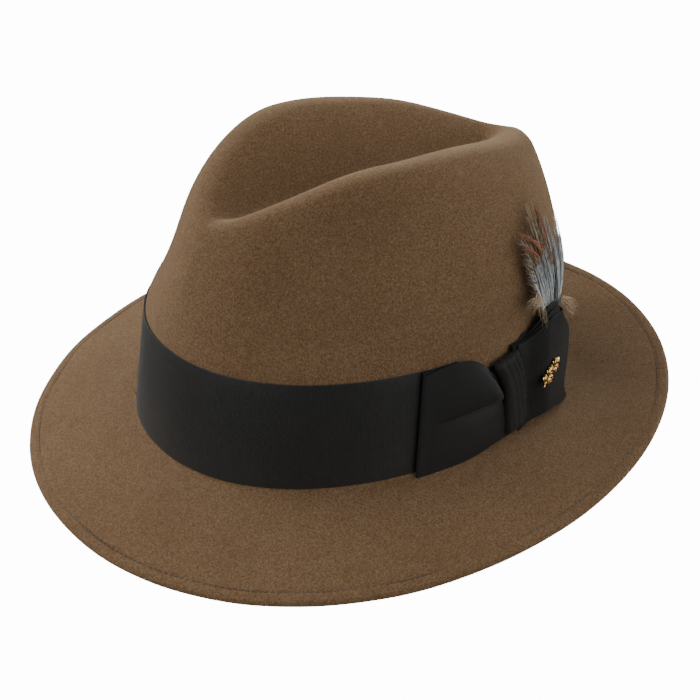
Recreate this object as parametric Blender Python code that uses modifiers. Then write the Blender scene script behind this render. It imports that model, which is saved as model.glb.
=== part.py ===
"""Centre-dent felt fedora, built as the separate pieces a hatter sews together.

Frame: the origin is the middle of the head opening, in the plane where crown meets brim.
-Y is the wearer's front, +X the wearer's left (the bow side), +Z is up.  Units are metres.
Angles round the hat, called turn, run from the front (0) through the wearer's left (90 degrees).
"""
import math

import bmesh
import bpy
from mathutils import Matrix, Vector

# --- driving dimensions -----------------------------------------------------------------
HEAD_HALF_WIDTH = 0.0869      # outside of the felt at the brim break, to the side
HEAD_HALF_LENGTH = 0.1039     # the same, to the front or back
OVAL_POWER = 2.1              # a little squarer than an ellipse
OVAL_EGG = 0.02               # narrower at the front by this share
BREAK_RISE = 0.0024           # the brim break rises this much at the sides
BAND_HEIGHT = 0.0472          # height of the hatband zone
TAPER_MEAN = 0.0046           # lean of the crown wall over the hatband zone
TAPER_FRONT = 0.0024          # extra lean at the front, less at the back
FELT = 0.0020                 # felt thickness
WELT_THICKNESS = 0.0034       # felt and its turned-under edge together
WELT_WIDTH = 0.012

RIDGE_FRONT = -0.0746         # front and back ends of the crown's ridge
RIDGE_BACK = 0.0903
RIDGE_HALF_WIDTH = 0.0390
RIDGE_SHIFT = 0.002           # the left of the ridge lies farther out than the right
RIDGE_POWER = 1.06            # how square the ridge is in plan, and how much less so in front
RIDGE_POWER_FRONT = 0.18
RIDGE_PEAK = 0.1256           # height of the ridge at its highest place
RIDGE_PEAK_Y = -0.0122
RIDGE_DROP_FRONT = 0.0269
RIDGE_DROP_BACK = 0.0246
RIDGE_BACK_POWER = 2.08       # how late the ridge falls at the back: later on the left
RIDGE_BACK_POWER_LEFT = 0.22
RIDGE_LEFT_DROP = 0.0046      # the left of the ridge lies lower than the right
RIDGE_HUMP = 0.0074           # a soft hump at the back left of the ridge
RIDGE_HUMP_TURN = math.radians(158.5)
RIDGE_HUMP_TIGHT = 9.2
RIDGE_ROUND = 0.167           # how much of the crown beside the ridge rolls over with it, and how much
RIDGE_ROUND_MORE = 0.185      # more at the hump
SIDE_FULL = 0.145             # how far the shoulder of the crown swells under the ridge
SIDE_FULL_FRONT = 0.060
VALLEY_FRONT = -0.056         # the centre dent runs between these
VALLEY_BACK = 0.074
VALLEY_HEIGHT = 0.094
VALLEY_RISE = 0.003
PINCH_DEPTH = 0.0055          # the two front pinches
PINCH_TURN = math.radians(36)
PINCH_SPREAD = math.radians(25)
PINCH_HEIGHT = 0.075
PINCH_TALL = 0.023
HOLLOW_DEPTH = 0.0062         # a hollow under the left of the ridge
HOLLOW_TURN = math.radians(68)
HOLLOW_SPREAD = math.radians(37)
HOLLOW_HEIGHT = 0.098
HOLLOW_TALL = 0.016

BRIM_WIDTH = 0.0522
BRIM_MEAN = math.radians(-4.5)      # slope of the brim: mean, then its first harmonics
BRIM_SNAP = math.radians(-16.8)
BRIM_SIDES = math.radians(3.2)
BRIM_CORNERS = math.radians(0.3)
BRIM_LEFT_DIP = math.radians(-2.2)
BRIM_TWIST = math.radians(-3.3)
BRIM_TWIST_CORNERS = math.radians(0.7)
SNAP_Y = -0.1075              # the front brim bends along this line
SNAP_GAP = 0.0006

GAP = 0.0003                  # kept between pieces that touch
RIBBON = 0.0005               # thickness of one layer of grosgrain
THREAD = 0.00025              # radius of a sewing thread
STITCH_INSET = 0.0052         # stitch line to brim edge

SWEATBAND = 0.0012
SWEATBAND_OFFSET = -0.0034
LINING = 0.0003
LINING_OFFSET = -0.0026
CROWN_ROWS = (0.5, 1.0, 1.13, 1.27, 1.40, 1.55, 1.70, 1.83, 1.92, 2.0, 2.08, 2.18, 2.45, 2.72, 3.0)
LINING_ROWS = (0.72, 1.0, 1.13, 1.27, 1.40)
TIP_HEIGHT = 0.084
REED_RADIUS = 0.0007

BOW_START = math.radians(74)
BOW_BACK_END = math.radians(117)
FRONT_END = math.radians(96.2)
KNOT_END = math.radians(103.5)
LOOP_START = math.radians(101.5)
LOOP_TALL = 1.12              # how far up the rear loop's fold reaches, in heights of the band
LOOP_PROUD = 0.0076           # how far the rear loop stands off the felt
PIN_TURN = math.radians(111.2)
PIN_LEVEL = 0.55
PIN_POST_RADIUS = 0.0005
FEATHER_TURN = math.radians(115.5)
FEATHER_OFFSET = 0.0048

SEGMENTS = 56                 # round the hat


# --- the shape of the hat ------------------------------------------------------------------
def signed_power(value, power):
    return math.copysign(abs(value) ** power, value)


def oval(turn, inset=0.0):
    """Plan of the crown wall, moved inwards by inset."""
    power = 2.0 / OVAL_POWER
    x = (HEAD_HALF_WIDTH - inset) * signed_power(math.sin(turn), power)
    y = -(HEAD_HALF_LENGTH - inset) * signed_power(math.cos(turn), power)
    return x * (1.0 - OVAL_EGG * math.cos(turn)), y


def oval_normal(turn):
    step = 0.001
    ax, ay = oval(turn - step)
    bx, by = oval(turn + step)
    return Vector((by - ay, ax - bx, 0.0)).normalized()


def break_height(turn):
    return -BREAK_RISE * math.cos(2.0 * turn)


def back_left(turn):
    """1 at the back left end of the ridge, 0 away from it."""
    return math.exp(RIDGE_HUMP_TIGHT * (math.cos(turn - RIDGE_HUMP_TURN) - 1.0))


def ridge(turn):
    """The closed line along the top of the crown, round the centre dent."""
    c, s = math.cos(turn), math.sin(turn)
    y = RIDGE_FRONT * c if c > 0.0 else -RIDGE_BACK * c
    x = RIDGE_SHIFT * abs(s) + RIDGE_HALF_WIDTH * signed_power(s, RIDGE_POWER + RIDGE_POWER_FRONT * c)
    if y < RIDGE_PEAK_Y:
        drop = RIDGE_DROP_FRONT * ((y - RIDGE_PEAK_Y) / (RIDGE_PEAK_Y - RIDGE_FRONT)) ** 2
    else:
        behind = (y - RIDGE_PEAK_Y) / (RIDGE_BACK - RIDGE_PEAK_Y)
        drop = RIDGE_DROP_BACK * behind ** (RIDGE_BACK_POWER + RIDGE_BACK_POWER_LEFT * s)
    drop += RIDGE_LEFT_DROP * max(s, 0.0) ** 2
    return Vector((x, y, RIDGE_PEAK - drop + RIDGE_HUMP * back_left(turn)))


def wall_foot(turn):
    x, y = oval(turn)
    return Vector((x, y, break_height(turn)))


def band_top(turn):
    x, y = oval(turn, TAPER_MEAN + TAPER_FRONT * math.cos(turn))
    return Vector((x, y, BAND_HEIGHT + 0.5 * break_height(turn)))


def pinch(point, share):
    """Press the two front pinches and the left hollow into the side of the crown."""
    turn = math.atan2(point.x, -point.y)
    depth = PINCH_DEPTH * math.exp(-((abs(turn) - PINCH_TURN) / PINCH_SPREAD) ** 2)
    depth *= math.exp(-((point.z - PINCH_HEIGHT) / PINCH_TALL) ** 2) * min(1.0, (1.0 - share) / 0.35)
    hollow = HOLLOW_DEPTH * math.exp(-((turn - HOLLOW_TURN) / HOLLOW_SPREAD) ** 2)
    hollow *= math.exp(-((point.z - HOLLOW_HEIGHT) / HOLLOW_TALL) ** 2) * min(1.0, (1.0 - share) / 0.15)
    depth = (depth + hollow) * min(1.0, share / 0.12)
    radius = math.hypot(point.x, point.y)
    shrink = 1.0 - depth / radius
    return Vector((point.x * shrink, point.y * shrink, point.z))


def side_point(turn, share):
    """From the top of the hatband zone (0) to the ridge (1), as a cubic curve."""
    foot, start, end = wall_foot(turn), band_top(turn), ridge(turn)
    climb = (0.60 - 0.10 * math.cos(turn)) * (end.z - start.z)
    lean = (start - foot) / BAND_HEIGHT
    low = Vector((start.x + lean.x * climb, start.y + lean.y * climb, start.z + climb))
    reach = SIDE_FULL + SIDE_FULL_FRONT * math.cos(turn)
    high = Vector((end.x + (start.x - end.x) * reach, end.y + (start.y - end.y) * reach, end.z))
    rest = 1.0 - share
    point = (rest ** 3 * start + 3 * share * rest ** 2 * low
             + 3 * share ** 2 * rest * high + share ** 3 * end)
    return pinch(point, share)


def dent_point(turn, share):
    """From the ridge (0) down to the centre line of the dent (1)."""
    top = ridge(turn)
    scale = VALLEY_FRONT / RIDGE_FRONT if top.y < 0.0 else VALLEY_BACK / RIDGE_BACK
    valley_y = top.y * scale
    valley_z = VALLEY_HEIGHT + VALLEY_RISE * (valley_y / VALLEY_BACK) ** 2
    rest = 1.0 - share
    fall = rest * rest * (3.0 - 2.0 * rest)
    return Vector((top.x * rest, valley_y + (top.y - valley_y) * rest,
                   valley_z + (top.z - valley_z) * fall))


def crown_point(turn, row):
    """Outside of the crown: row 0 to 1 is the hatband zone, 1 to 2 the side, 2 to 3 the dent."""
    if row <= 1.0:
        return wall_foot(turn).lerp(band_top(turn), row)
    reach = RIDGE_ROUND + RIDGE_ROUND_MORE * back_left(turn)
    if abs(row - 2.0) < reach:
        share = ((row - 2.0) / reach + 1.0) / 2.0
        below = side_point(turn, 1.0 - reach).lerp(ridge(turn), share)
        beyond = ridge(turn).lerp(dent_point(turn, reach), share)
        return below.lerp(beyond, share)
    if row <= 2.0:
        return side_point(turn, row - 1.0)
    return dent_point(turn, row - 2.0)


def crown_offset(turn, row, offset):
    """A point off the crown's surface: outwards where offset is positive."""
    step = 0.002
    along = crown_point(turn + step, row) - crown_point(turn - step, row)
    up = crown_point(turn, row + step) - crown_point(turn, max(row - step, 0.0))
    return crown_point(turn, row) + along.cross(up).normalized() * offset


def band_point(turn, level, offset):
    """A point off the hatband zone, pushed straight out sideways; level runs up the zone."""
    foot, top = wall_foot(turn), band_top(turn)
    return foot + (top - foot) * level + oval_normal(turn) * offset


def brim_slope(turn):
    return (BRIM_MEAN + BRIM_SNAP * math.cos(turn) + BRIM_SIDES * math.cos(2 * turn)
            + BRIM_CORNERS * math.cos(3 * turn) + BRIM_LEFT_DIP * math.sin(turn)
            + BRIM_TWIST * math.sin(2 * turn) + BRIM_TWIST_CORNERS * math.sin(3 * turn))


def brim_point(turn, out):
    """Top of the brim, out metres from the break."""
    share = out / BRIM_WIDTH
    slope = brim_slope(turn)
    point = wall_foot(turn) + oval_normal(turn) * (out * math.cos(slope))
    point.z += BRIM_WIDTH * math.sin(slope) * share ** 1.15
    return point


# --- helpers -------------------------------------------------------------------------------
def clear_scene():
    for item in list(bpy.data.objects):
        bpy.data.objects.remove(item, do_unlink=True)


def make_collection(name):
    collection = bpy.data.collections.new(name)
    bpy.context.scene.collection.children.link(collection)
    return collection


def material(name, colour, roughness, metallic=0.0):
    made = bpy.data.materials.new(name)
    made.use_nodes = True
    shader = made.node_tree.nodes["Principled BSDF"]
    shader.inputs["Base Color"].default_value = (*colour, 1.0)
    shader.inputs["Roughness"].default_value = roughness
    shader.inputs["Metallic"].default_value = metallic
    return made


def add_object(name, data, look):
    data.materials.append(look)
    made = bpy.data.objects.new(name, data)
    PARTS.objects.link(made)
    return made


def loft_mesh(name, rows, closed):
    """One surface through rows of points; closed joins each row's end to its start."""
    bm = bmesh.new()
    grid = [[bm.verts.new(point) for point in row] for row in rows]
    columns = len(rows[0]) if closed else len(rows[0]) - 1
    for low, high in zip(grid, grid[1:]):
        for i in range(columns):
            j = (i + 1) % len(low)
            bm.faces.new((low[i], low[j], high[j], high[i]))
    bmesh.ops.remove_doubles(bm, verts=bm.verts, dist=1e-6)
    bmesh.ops.dissolve_degenerate(bm, edges=bm.edges, dist=1e-6)
    mesh = bpy.data.meshes.new(name)
    bm.to_mesh(mesh)
    bm.free()
    mesh.shade_smooth()
    return mesh


def thicken(made, thickness, offset=1.0):
    shell = made.modifiers.new("Thickness", "SOLIDIFY")
    shell.thickness = thickness
    shell.offset = offset
    return shell


def sheet(name, rows, thickness, look, closed=False, offset=1.0):
    """A thin piece of cloth, leather or felt: a loft with a thickness on its outer side."""
    made = add_object(name, loft_mesh(name, rows, closed), look)
    thicken(made, thickness, offset)
    return made


def tube(name, points, radius, look, cyclic=False):
    curve = bpy.data.curves.new(name, "CURVE")
    curve.dimensions = "3D"
    curve.bevel_depth = radius
    curve.bevel_resolution = 1
    curve.use_fill_caps = True
    spline = curve.splines.new("POLY")
    spline.points.add(len(points) - 1)
    for slot, point in zip(spline.points, points):
        slot.co = (*point, 1.0)
    spline.use_cyclic_u = cyclic
    return add_object(name, curve, look)


def plate(name, outline, thickness, look, place):
    """A flat outline of the given thickness, set by a matrix whose Z is the plate's normal."""
    curve = bpy.data.curves.new(name, "CURVE")
    curve.dimensions = "2D"
    curve.fill_mode = "BOTH"
    curve.extrude = thickness / 2
    spline = curve.splines.new("POLY")
    spline.points.add(len(outline) - 1)
    for slot, (x, y) in zip(spline.points, outline):
        slot.co = (x, y, 0.0, 1.0)
    spline.use_cyclic_u = True
    made = add_object(name, curve, look)
    made.matrix_world = place
    return made


def spread(start, end, count):
    return [start + (end - start) * i / (count - 1) for i in range(count)]


def all_round(count=SEGMENTS):
    return [2.0 * math.pi * i / count for i in range(count)]


def facing(point, outward, roll=0.0):
    """A matrix at point whose Z looks outwards and whose Y is up, turned by roll."""
    side = Vector((0.0, 0.0, 1.0)).cross(outward).normalized()
    up = outward.cross(side)
    turned = Matrix((side, up, outward)).transposed().to_4x4() @ Matrix.Rotation(roll, 4, "Z")
    return Matrix.Translation(point) @ turned


# --- felt ------------------------------------------------------------------------------------
def felt_surface(name, keep_front):
    """The blocked felt, brim edge to dent, cut along the bend of the front brim."""
    welt = BRIM_WIDTH - WELT_WIDTH
    steps_out = [BRIM_WIDTH, welt, welt - 0.0015, 0.022, 0.006, 0.0]
    turns = all_round()
    rows = [[brim_point(turn, out) for turn in turns] for out in steps_out]
    rows += [[crown_point(turn, row) for turn in turns] for row in CROWN_ROWS]
    bm = bmesh.new()
    weights = bm.verts.layers.deform.verify()
    grid = []
    for index, row in enumerate(rows):
        line = [bm.verts.new(point) for point in row]
        for vert in line:
            vert[weights][0] = 1.0 if index < 2 else 0.0
        grid.append(line)
    for low, high in zip(grid, grid[1:]):
        for i in range(SEGMENTS):
            j = (i + 1) % SEGMENTS
            bm.faces.new((low[i], low[j], high[j], high[i]))
    bmesh.ops.remove_doubles(bm, verts=bm.verts, dist=1e-6)
    bmesh.ops.dissolve_degenerate(bm, edges=bm.edges, dist=1e-6)
    side = -1.0 if keep_front else 1.0
    bmesh.ops.bisect_plane(
        bm, geom=bm.verts[:] + bm.edges[:] + bm.faces[:], dist=1e-6,
        plane_co=(0.0, SNAP_Y + side * SNAP_GAP / 2, 0.0), plane_no=(0.0, side, 0.0),
        clear_inner=True)
    mesh = bpy.data.meshes.new(name)
    bm.to_mesh(mesh)
    bm.free()
    mesh.shade_smooth()
    return mesh


def make_felt(name, keep_front, look):
    made = add_object(name, felt_surface(name, keep_front), look)
    made.vertex_groups.new(name="welt")
    shell = thicken(made, WELT_THICKNESS, -1.0)
    shell.vertex_group = "welt"
    shell.thickness_vertex_group = FELT / WELT_THICKNESS
    return made


def make_edge_stitches(look):
    """The row of thread round the brim, in two runs that part at the bend."""
    lift = Vector((0.0, 0.0, THREAD + GAP + 0.0002))
    ring = [brim_point(turn, BRIM_WIDTH - STITCH_INSET) + lift for turn in all_round(2 * SEGMENTS)]
    half = len(ring) // 2
    rear = [point for point in ring if point.y > SNAP_Y + 2 * SNAP_GAP]
    front = [point for point in ring[half:] + ring[:half] if point.y < SNAP_Y - 2 * SNAP_GAP]
    tube("edge_stitch_rear", rear, THREAD, look)
    tube("edge_stitch_front", front, THREAD, look)


# --- inside the crown --------------------------------------------------------------------------
def make_lining(satin, clear):
    turns = all_round()
    rows = [[crown_offset(turn, row, LINING_OFFSET) for turn in turns]
            for row in LINING_ROWS]
    sheet("lining_side", rows, LINING, satin, closed=True, offset=-1.0)
    rim = [crown_offset(turn, LINING_ROWS[-1], LINING_OFFSET - LINING - 2 * GAP) for turn in turns]
    sheet("lining_tip", tip_rows(rim, 0.0, 1.0), LINING, satin, closed=True, offset=-1.0)
    sheet("tip_shield", tip_rows(rim, -LINING - 2 * GAP, 0.62), 0.0003, clear, closed=True, offset=-1.0)


def tip_rows(rim, lift, size):
    """Rings from the rim of the lining's tip to its middle, as one shallow cap."""
    rows = []
    for share in (1.0, 0.72, 0.4, 0.0):
        reach = share * size
        rows.append([Vector((point.x * reach, point.y * reach,
                             TIP_HEIGHT + (point.z - TIP_HEIGHT) * reach ** 2 + lift))
                     for point in rim])
    return rows


def make_sweatband(leather, tape, plastic, ribbon):
    turns = all_round()
    levels = (0.0, 0.5, 0.93)
    rows = [[band_point(turn, level, SWEATBAND_OFFSET) for turn in turns] for level in levels]
    sheet("sweatband", rows, SWEATBAND, leather, closed=True, offset=-1.0)
    down = Vector((0.0, 0.0, -1.0))
    reed = [band_point(turn, 0.0, -0.0040) + down * 0.0028 for turn in turns]
    tube("sweatband_reed", reed, REED_RADIUS, plastic, cyclic=True)
    rows = [[band_point(turn, 0.0, -0.0025) + down * drop for turn in turns]
            for drop in (0.0042, 0.0008)]
    sheet("reed_tape", rows, 0.0003, tape, closed=True, offset=-1.0)
    inside = SWEATBAND_OFFSET - SWEATBAND - GAP
    width = 0.004 / HEAD_HALF_WIDTH
    rows = [[band_point(math.pi + across, level, inside) for across in spread(-width, width, 3)]
            for level in spread(0.08, 0.90, 3)]
    sheet("sweatband_seam_tape", rows, 0.0005, leather, offset=-1.0)
    bow = ((0.0, 0.0012), (0.0075, 0.0034), (0.0085, 0.0), (0.0075, -0.0034), (0.0, -0.0012),
           (-0.0075, -0.0034), (-0.0085, 0.0), (-0.0075, 0.0034))
    place = facing(band_point(math.pi, 0.2, inside - 0.0005 - 0.0012), Vector((0.0, -1.0, 0.0)))
    plate("sweatband_bow", bow, 0.0008, ribbon, place)


# --- hatband and bow -----------------------------------------------------------------------------
def make_hatband(ribbon, thread):
    """The band's ends meet under the bow, with a hair's gap."""
    start = math.radians(99.3)
    turns = spread(start, start + 2.0 * math.pi - math.radians(0.8), SEGMENTS + 1)
    rows = [[band_point(turn, 0.02 + 0.08 * bow_pinch(turn), GAP) for turn in turns],
            [band_point(turn, 0.5, GAP) for turn in turns],
            [band_point(turn, 1.0 - 0.18 * bow_pinch(turn), GAP) for turn in turns]]
    sheet("hatband", rows, RIBBON, ribbon)
    for index, (degrees, level) in enumerate(((47.0, 0.13), (-26.3, 0.10), (180.0, 0.13))):
        turn = math.radians(degrees)
        outline = ((-0.0008, -0.00025), (0.0008, -0.00025), (0.0008, 0.00025), (-0.0008, 0.00025))
        outward = oval_normal(turn)
        place = facing(band_point(turn, level, 2.5 * GAP + RIBBON + 0.0003), outward)
        plate(f"band_tack_{index + 1}", outline, 0.0004, thread, place)


def smooth(value):
    value = min(max(value, 0.0), 1.0)
    return value * value * (3.0 - 2.0 * value)


def loop_offset(turn):
    """How far the rear loop's outer layer stands off: low under the knot, proud behind it."""
    return 0.0033 + (LOOP_PROUD - 0.0033) * smooth((turn - KNOT_END - 0.02) / math.radians(7))


def bow_pinch(turn):
    """1 where the bow's strap gathers the band and its backing, 0 away from it."""
    degrees = math.degrees(turn)
    return smooth((degrees - 84.0) / 8.5) * (1.0 - smooth((degrees - 100.5) / 5.5))


def front_top(turn):
    """Top of the front loop: full, then rounded down to the crease beside the strap."""
    reach = min(max((math.degrees(turn) - 85.4) / 10.9, 0.0), 1.0)
    return 0.51 + 0.515 * (1.0 - reach ** 2)


def wing_top(turn):
    """The rear wing widens from the strap to its fold."""
    degrees = math.degrees(turn)
    return 0.945 + 0.16 * smooth((degrees - 104.0) / 9.0) - 0.03 * smooth((degrees - 112.0) / 8.0)


def wing_low(turn):
    """The rear wing's lower edge is arched."""
    return 0.03 + 0.09 * math.exp(-((math.degrees(turn) - 111.5) / 6.5) ** 2)


def knot_sides(height):
    """Turns of the strap's two sides, which lean apart from each other, at a share of its height."""
    return (math.radians(97.2 - 0.8 * height - 2.6 * height ** 4),
            math.radians(104.4 - 0.4 * height - 2.6 * height ** 3))


def rear_end(level):
    """Turn of the rear loop's fold: fullest at two thirds of its height, pulled in at the top."""
    return math.radians(121.2 + 4.3 * smooth((level - 0.12) / 0.45) - 7.4 * smooth((level - 0.72) / 0.42)
                        + 2.3 * math.exp(-(level / 0.1) ** 2))


def make_bow(ribbon):
    turns = spread(BOW_START + 0.03, BOW_BACK_END, 19)
    offset = 2 * GAP + RIBBON + 0.0001
    rows = [[band_point(turn, 0.05 + 0.06 * bow_pinch(turn), offset) for turn in turns],
            [band_point(turn, 0.5, offset) for turn in turns],
            [band_point(turn, 0.96 - 0.18 * bow_pinch(turn), offset) for turn in turns]]
    sheet("bow_backing", rows, RIBBON, ribbon)

    turns = spread(BOW_START, FRONT_END, 13)
    rows = [[band_point(turn, -0.005 + (front_top(turn) + 0.005) * share, 0.0021) for turn in turns]
            for share in (0.0, 0.5, 1.0)]
    sheet("bow_front_wing", rows, 0.0012, ribbon)

    make_rear_wing(ribbon)

    rows = []
    for height in (0.0, 0.3, 0.55, 0.8, 1.0):
        left, right = knot_sides(height)
        rows.append([band_point(turn, 0.09 + 0.80 * height, 0.0042) for turn in spread(left, right, 6)])
    sheet("bow_knot", rows, 0.0012, ribbon)


def make_rear_wing(ribbon):
    """A loop: back along the band, round its rear fold, and forward again, with a pin hole."""
    fold = 0.5 * (0.0021 + LOOP_PROUD)
    rows = []
    for share in (0.0, 0.2, 0.4, 0.6, 0.8, 1.0):
        end = rear_end(LOOP_TALL * share)
        path = [(turn, 0.0021) for turn in spread(LOOP_START, end - 0.01, 8)]
        path += [(end + 0.012, 0.0030), (end + 0.022, fold), (end + 0.014, 0.0064)]
        path += [(turn, loop_offset(turn)) for turn in spread(end - 0.01, LOOP_START, 10)]
        rows.append([band_point(turn, wing_low(turn) + (wing_top(turn) - wing_low(turn)) * share, offset)
                     for turn, offset in path])
    made = sheet("bow_rear_wing", rows, RIBBON, ribbon, offset=0.0)
    bpy.ops.mesh.primitive_cylinder_add(vertices=10, radius=PIN_POST_RADIUS + GAP, depth=0.004)
    cutter = bpy.context.object
    cutter.name = "pin_hole_cutter"
    outward = oval_normal(PIN_TURN)
    cutter.matrix_world = facing(band_point(PIN_TURN, PIN_LEVEL, loop_offset(PIN_TURN)), outward)
    cutter.hide_render = True
    cutter.display_type = "WIRE"
    for holder in list(cutter.users_collection):
        holder.objects.unlink(cutter)
    CUTTERS.objects.link(cutter)
    cut = made.modifiers.new("Pin hole", "BOOLEAN")
    cut.object = cutter
    cut.operation = "DIFFERENCE"


# --- pin ---------------------------------------------------------------------------------------
def sprig_outline():
    """A plain sprig: pairs of pointed leaves along a stem."""
    right = []
    for start in (-0.0062, -0.0026, 0.0010):
        right += [(0.0006, start), (0.0026, start + 0.0016)]
        right += [(0.0023, start + 0.0028), (0.0006, start + 0.0026)]
    left = [(-x, y) for x, y in reversed(right)]
    return right + [(0.0, 0.0068)] + left


def make_pin(gold, steel):
    outward = oval_normal(PIN_TURN)
    skin = loop_offset(PIN_TURN) + RIBBON / 2
    centre = skin + 2 * GAP + 0.0005
    place = facing(band_point(PIN_TURN, PIN_LEVEL, centre), outward, roll=math.radians(-35))
    plate("pin_badge", sprig_outline(), 0.0010, gold, place)
    start = band_point(PIN_TURN, PIN_LEVEL, centre - 0.0005 - GAP)
    tube("pin_post", [start, start - outward * 0.0030], PIN_POST_RADIUS, steel)
    make_clutch(outward, gold)


def make_clutch(outward, look):
    """The catch that grips the post inside the loop: a turned collar."""
    half, bore, rim = 0.0006, PIN_POST_RADIUS + 0.0002, 0.0026
    profile = [(rim, half), (rim, -half), (bore, -half), (bore, half)]
    mesh = bpy.data.meshes.new("pin_clutch")
    edges = [(i, (i + 1) % 4) for i in range(4)]
    mesh.from_pydata([(x, 0.0, z) for x, z in profile], edges, [])
    made = add_object("pin_clutch", mesh, look)
    turned = made.modifiers.new("Turn", "SCREW")
    turned.steps = turned.render_steps = 16
    turned.use_merge_vertices = True
    turned.merge_threshold = 0.00001
    made.matrix_world = facing(band_point(PIN_TURN, PIN_LEVEL, loop_offset(PIN_TURN) - 0.0020), outward)


# --- feathers ------------------------------------------------------------------------------------
def feather_axis():
    """The way the bundle slides out: up along the wall behind the loop."""
    return (band_point(FEATHER_TURN, 1.0, 0.0) - band_point(FEATHER_TURN, 0.0, 0.0)).normalized()


def make_feather(name, low, high, across, lean, width, offset, look):
    """One flat blade that stands off the crown; low and high are rows of the crown grid."""
    rows = []
    for share in spread(0.0, 1.0, 6):
        row = low + (high - low) * share
        middle = FEATHER_TURN + across + lean * share
        half = width * (0.25 + 0.75 * math.sin(math.pi * (0.12 + 0.78 * share)))
        half /= HEAD_HALF_WIDTH
        rows.append([crown_offset(middle + half * step, row, offset) for step in (-1.0, 0.0, 1.0)])
    sheet(name, rows, 0.0004, look)


def make_feathers(slate, rust, tan, down, thread):
    start = band_point(FEATHER_TURN, 0.40, FEATHER_OFFSET)
    end = start + feather_axis() * 0.028
    tube("feather_quill", [start, end], 0.0011, thread)
    make_feather("feather_tan", 1.08, 1.42, -0.01, -0.05, 0.0060, 0.0030, tan)
    make_feather("feather_slate", 1.08, 1.46, 0.01, 0.10, 0.0066, 0.0040, slate)
    make_feather("feather_rust", 1.12, 1.40, 0.0, 0.02, 0.0032, 0.0050, rust)
    make_feather("feather_fluff", 1.06, 1.18, 0.0, 0.0, 0.0090, 0.0060, down)


# --- assembly ------------------------------------------------------------------------------------
def main():
    felt = material("felt", (0.23, 0.15, 0.09), 0.95)
    ribbon = material("grosgrain", (0.012, 0.012, 0.014), 0.55)
    thread = material("thread", (0.10, 0.06, 0.035), 0.8)
    black_thread = material("black_thread", (0.01, 0.01, 0.01), 0.7)
    leather = material("sweatband_leather", (0.20, 0.10, 0.05), 0.5)
    tape = material("reed_tape", (0.05, 0.04, 0.035), 0.8)
    plastic = material("reed_plastic", (0.6, 0.6, 0.58), 0.4)
    satin = material("lining_satin", (0.30, 0.22, 0.14), 0.35)
    clear = material("tip_shield_film", (0.85, 0.88, 0.9), 0.1)
    gold = material("gold", (0.9, 0.62, 0.2), 0.25, 1.0)
    steel = material("pin_steel", (0.7, 0.65, 0.5), 0.3, 1.0)
    slate = material("slate_hackle", (0.30, 0.34, 0.38), 0.7)
    rust = material("rust_hackle", (0.35, 0.09, 0.03), 0.7)
    tan = material("tan_hackle", (0.25, 0.18, 0.10), 0.7)
    down = material("down", (0.42, 0.33, 0.24), 0.9)

    make_felt("felt_body", False, felt)
    make_felt("front_brim", True, felt)
    make_edge_stitches(thread)
    make_lining(satin, clear)
    make_sweatband(leather, tape, plastic, ribbon)
    make_hatband(ribbon, black_thread)
    make_bow(ribbon)
    make_pin(gold, steel)
    make_feathers(slate, rust, tan, down, black_thread)


clear_scene()
PARTS = make_collection("fedora_hat")
CUTTERS = make_collection("cutters")
main()
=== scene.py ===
"""Looks for the centre-dent felt fedora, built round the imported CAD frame.

Frame: the origin is the middle of the head opening, in the plane where crown meets brim.
-Y is the wearer's front, +X the wearer's left (the bow side), +Z is up.  Units are metres.
Angles round the hat, called turn, run from the front (0) through the wearer's left.
"""
import math
import random

import bmesh
import bpy
import numpy as np
from mathutils import Matrix, Vector


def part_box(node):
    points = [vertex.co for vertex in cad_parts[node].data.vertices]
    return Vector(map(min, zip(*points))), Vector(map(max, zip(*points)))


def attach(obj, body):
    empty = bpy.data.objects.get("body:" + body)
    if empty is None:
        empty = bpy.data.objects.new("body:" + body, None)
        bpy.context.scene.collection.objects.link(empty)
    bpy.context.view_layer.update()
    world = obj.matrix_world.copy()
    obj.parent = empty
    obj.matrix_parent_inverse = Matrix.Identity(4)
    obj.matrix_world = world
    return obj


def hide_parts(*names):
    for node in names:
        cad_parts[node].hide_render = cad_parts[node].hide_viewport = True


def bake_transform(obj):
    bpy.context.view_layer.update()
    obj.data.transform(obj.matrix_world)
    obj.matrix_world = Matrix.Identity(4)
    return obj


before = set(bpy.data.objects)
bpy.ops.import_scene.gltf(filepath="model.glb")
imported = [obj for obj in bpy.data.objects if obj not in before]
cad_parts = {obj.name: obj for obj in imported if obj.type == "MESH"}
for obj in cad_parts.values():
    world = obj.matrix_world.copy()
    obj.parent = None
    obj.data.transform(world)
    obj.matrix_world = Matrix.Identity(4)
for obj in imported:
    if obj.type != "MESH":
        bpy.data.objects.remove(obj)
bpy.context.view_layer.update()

PI = math.pi

# --- the hat's dimensions, as in the CAD source ----------
HEAD_HALF_WIDTH = 0.0869
HEAD_HALF_LENGTH = 0.1039
OVAL_POWER = 2.1
OVAL_EGG = 0.02
BREAK_RISE = 0.0024
BAND_HEIGHT = 0.0472
TAPER_MEAN = 0.0046
TAPER_FRONT = 0.0024
FELT = 0.0020
WELT_THICKNESS = 0.0034
WELT_WIDTH = 0.012
RIDGE_FRONT, RIDGE_BACK = -0.0746, 0.0903
RIDGE_HALF_WIDTH, RIDGE_SHIFT = 0.0390, 0.002
RIDGE_POWER, RIDGE_POWER_FRONT = 1.06, 0.18
RIDGE_PEAK, RIDGE_PEAK_Y = 0.1256, -0.0122
RIDGE_DROP_FRONT, RIDGE_DROP_BACK = 0.0269, 0.0246
RIDGE_BACK_POWER, RIDGE_BACK_POWER_LEFT = 2.08, 0.22
RIDGE_LEFT_DROP = 0.0046
RIDGE_HUMP, RIDGE_HUMP_TIGHT = 0.0074, 9.2
RIDGE_HUMP_TURN = math.radians(158.5)
RIDGE_ROUND, RIDGE_ROUND_MORE = 0.167, 0.185
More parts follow.
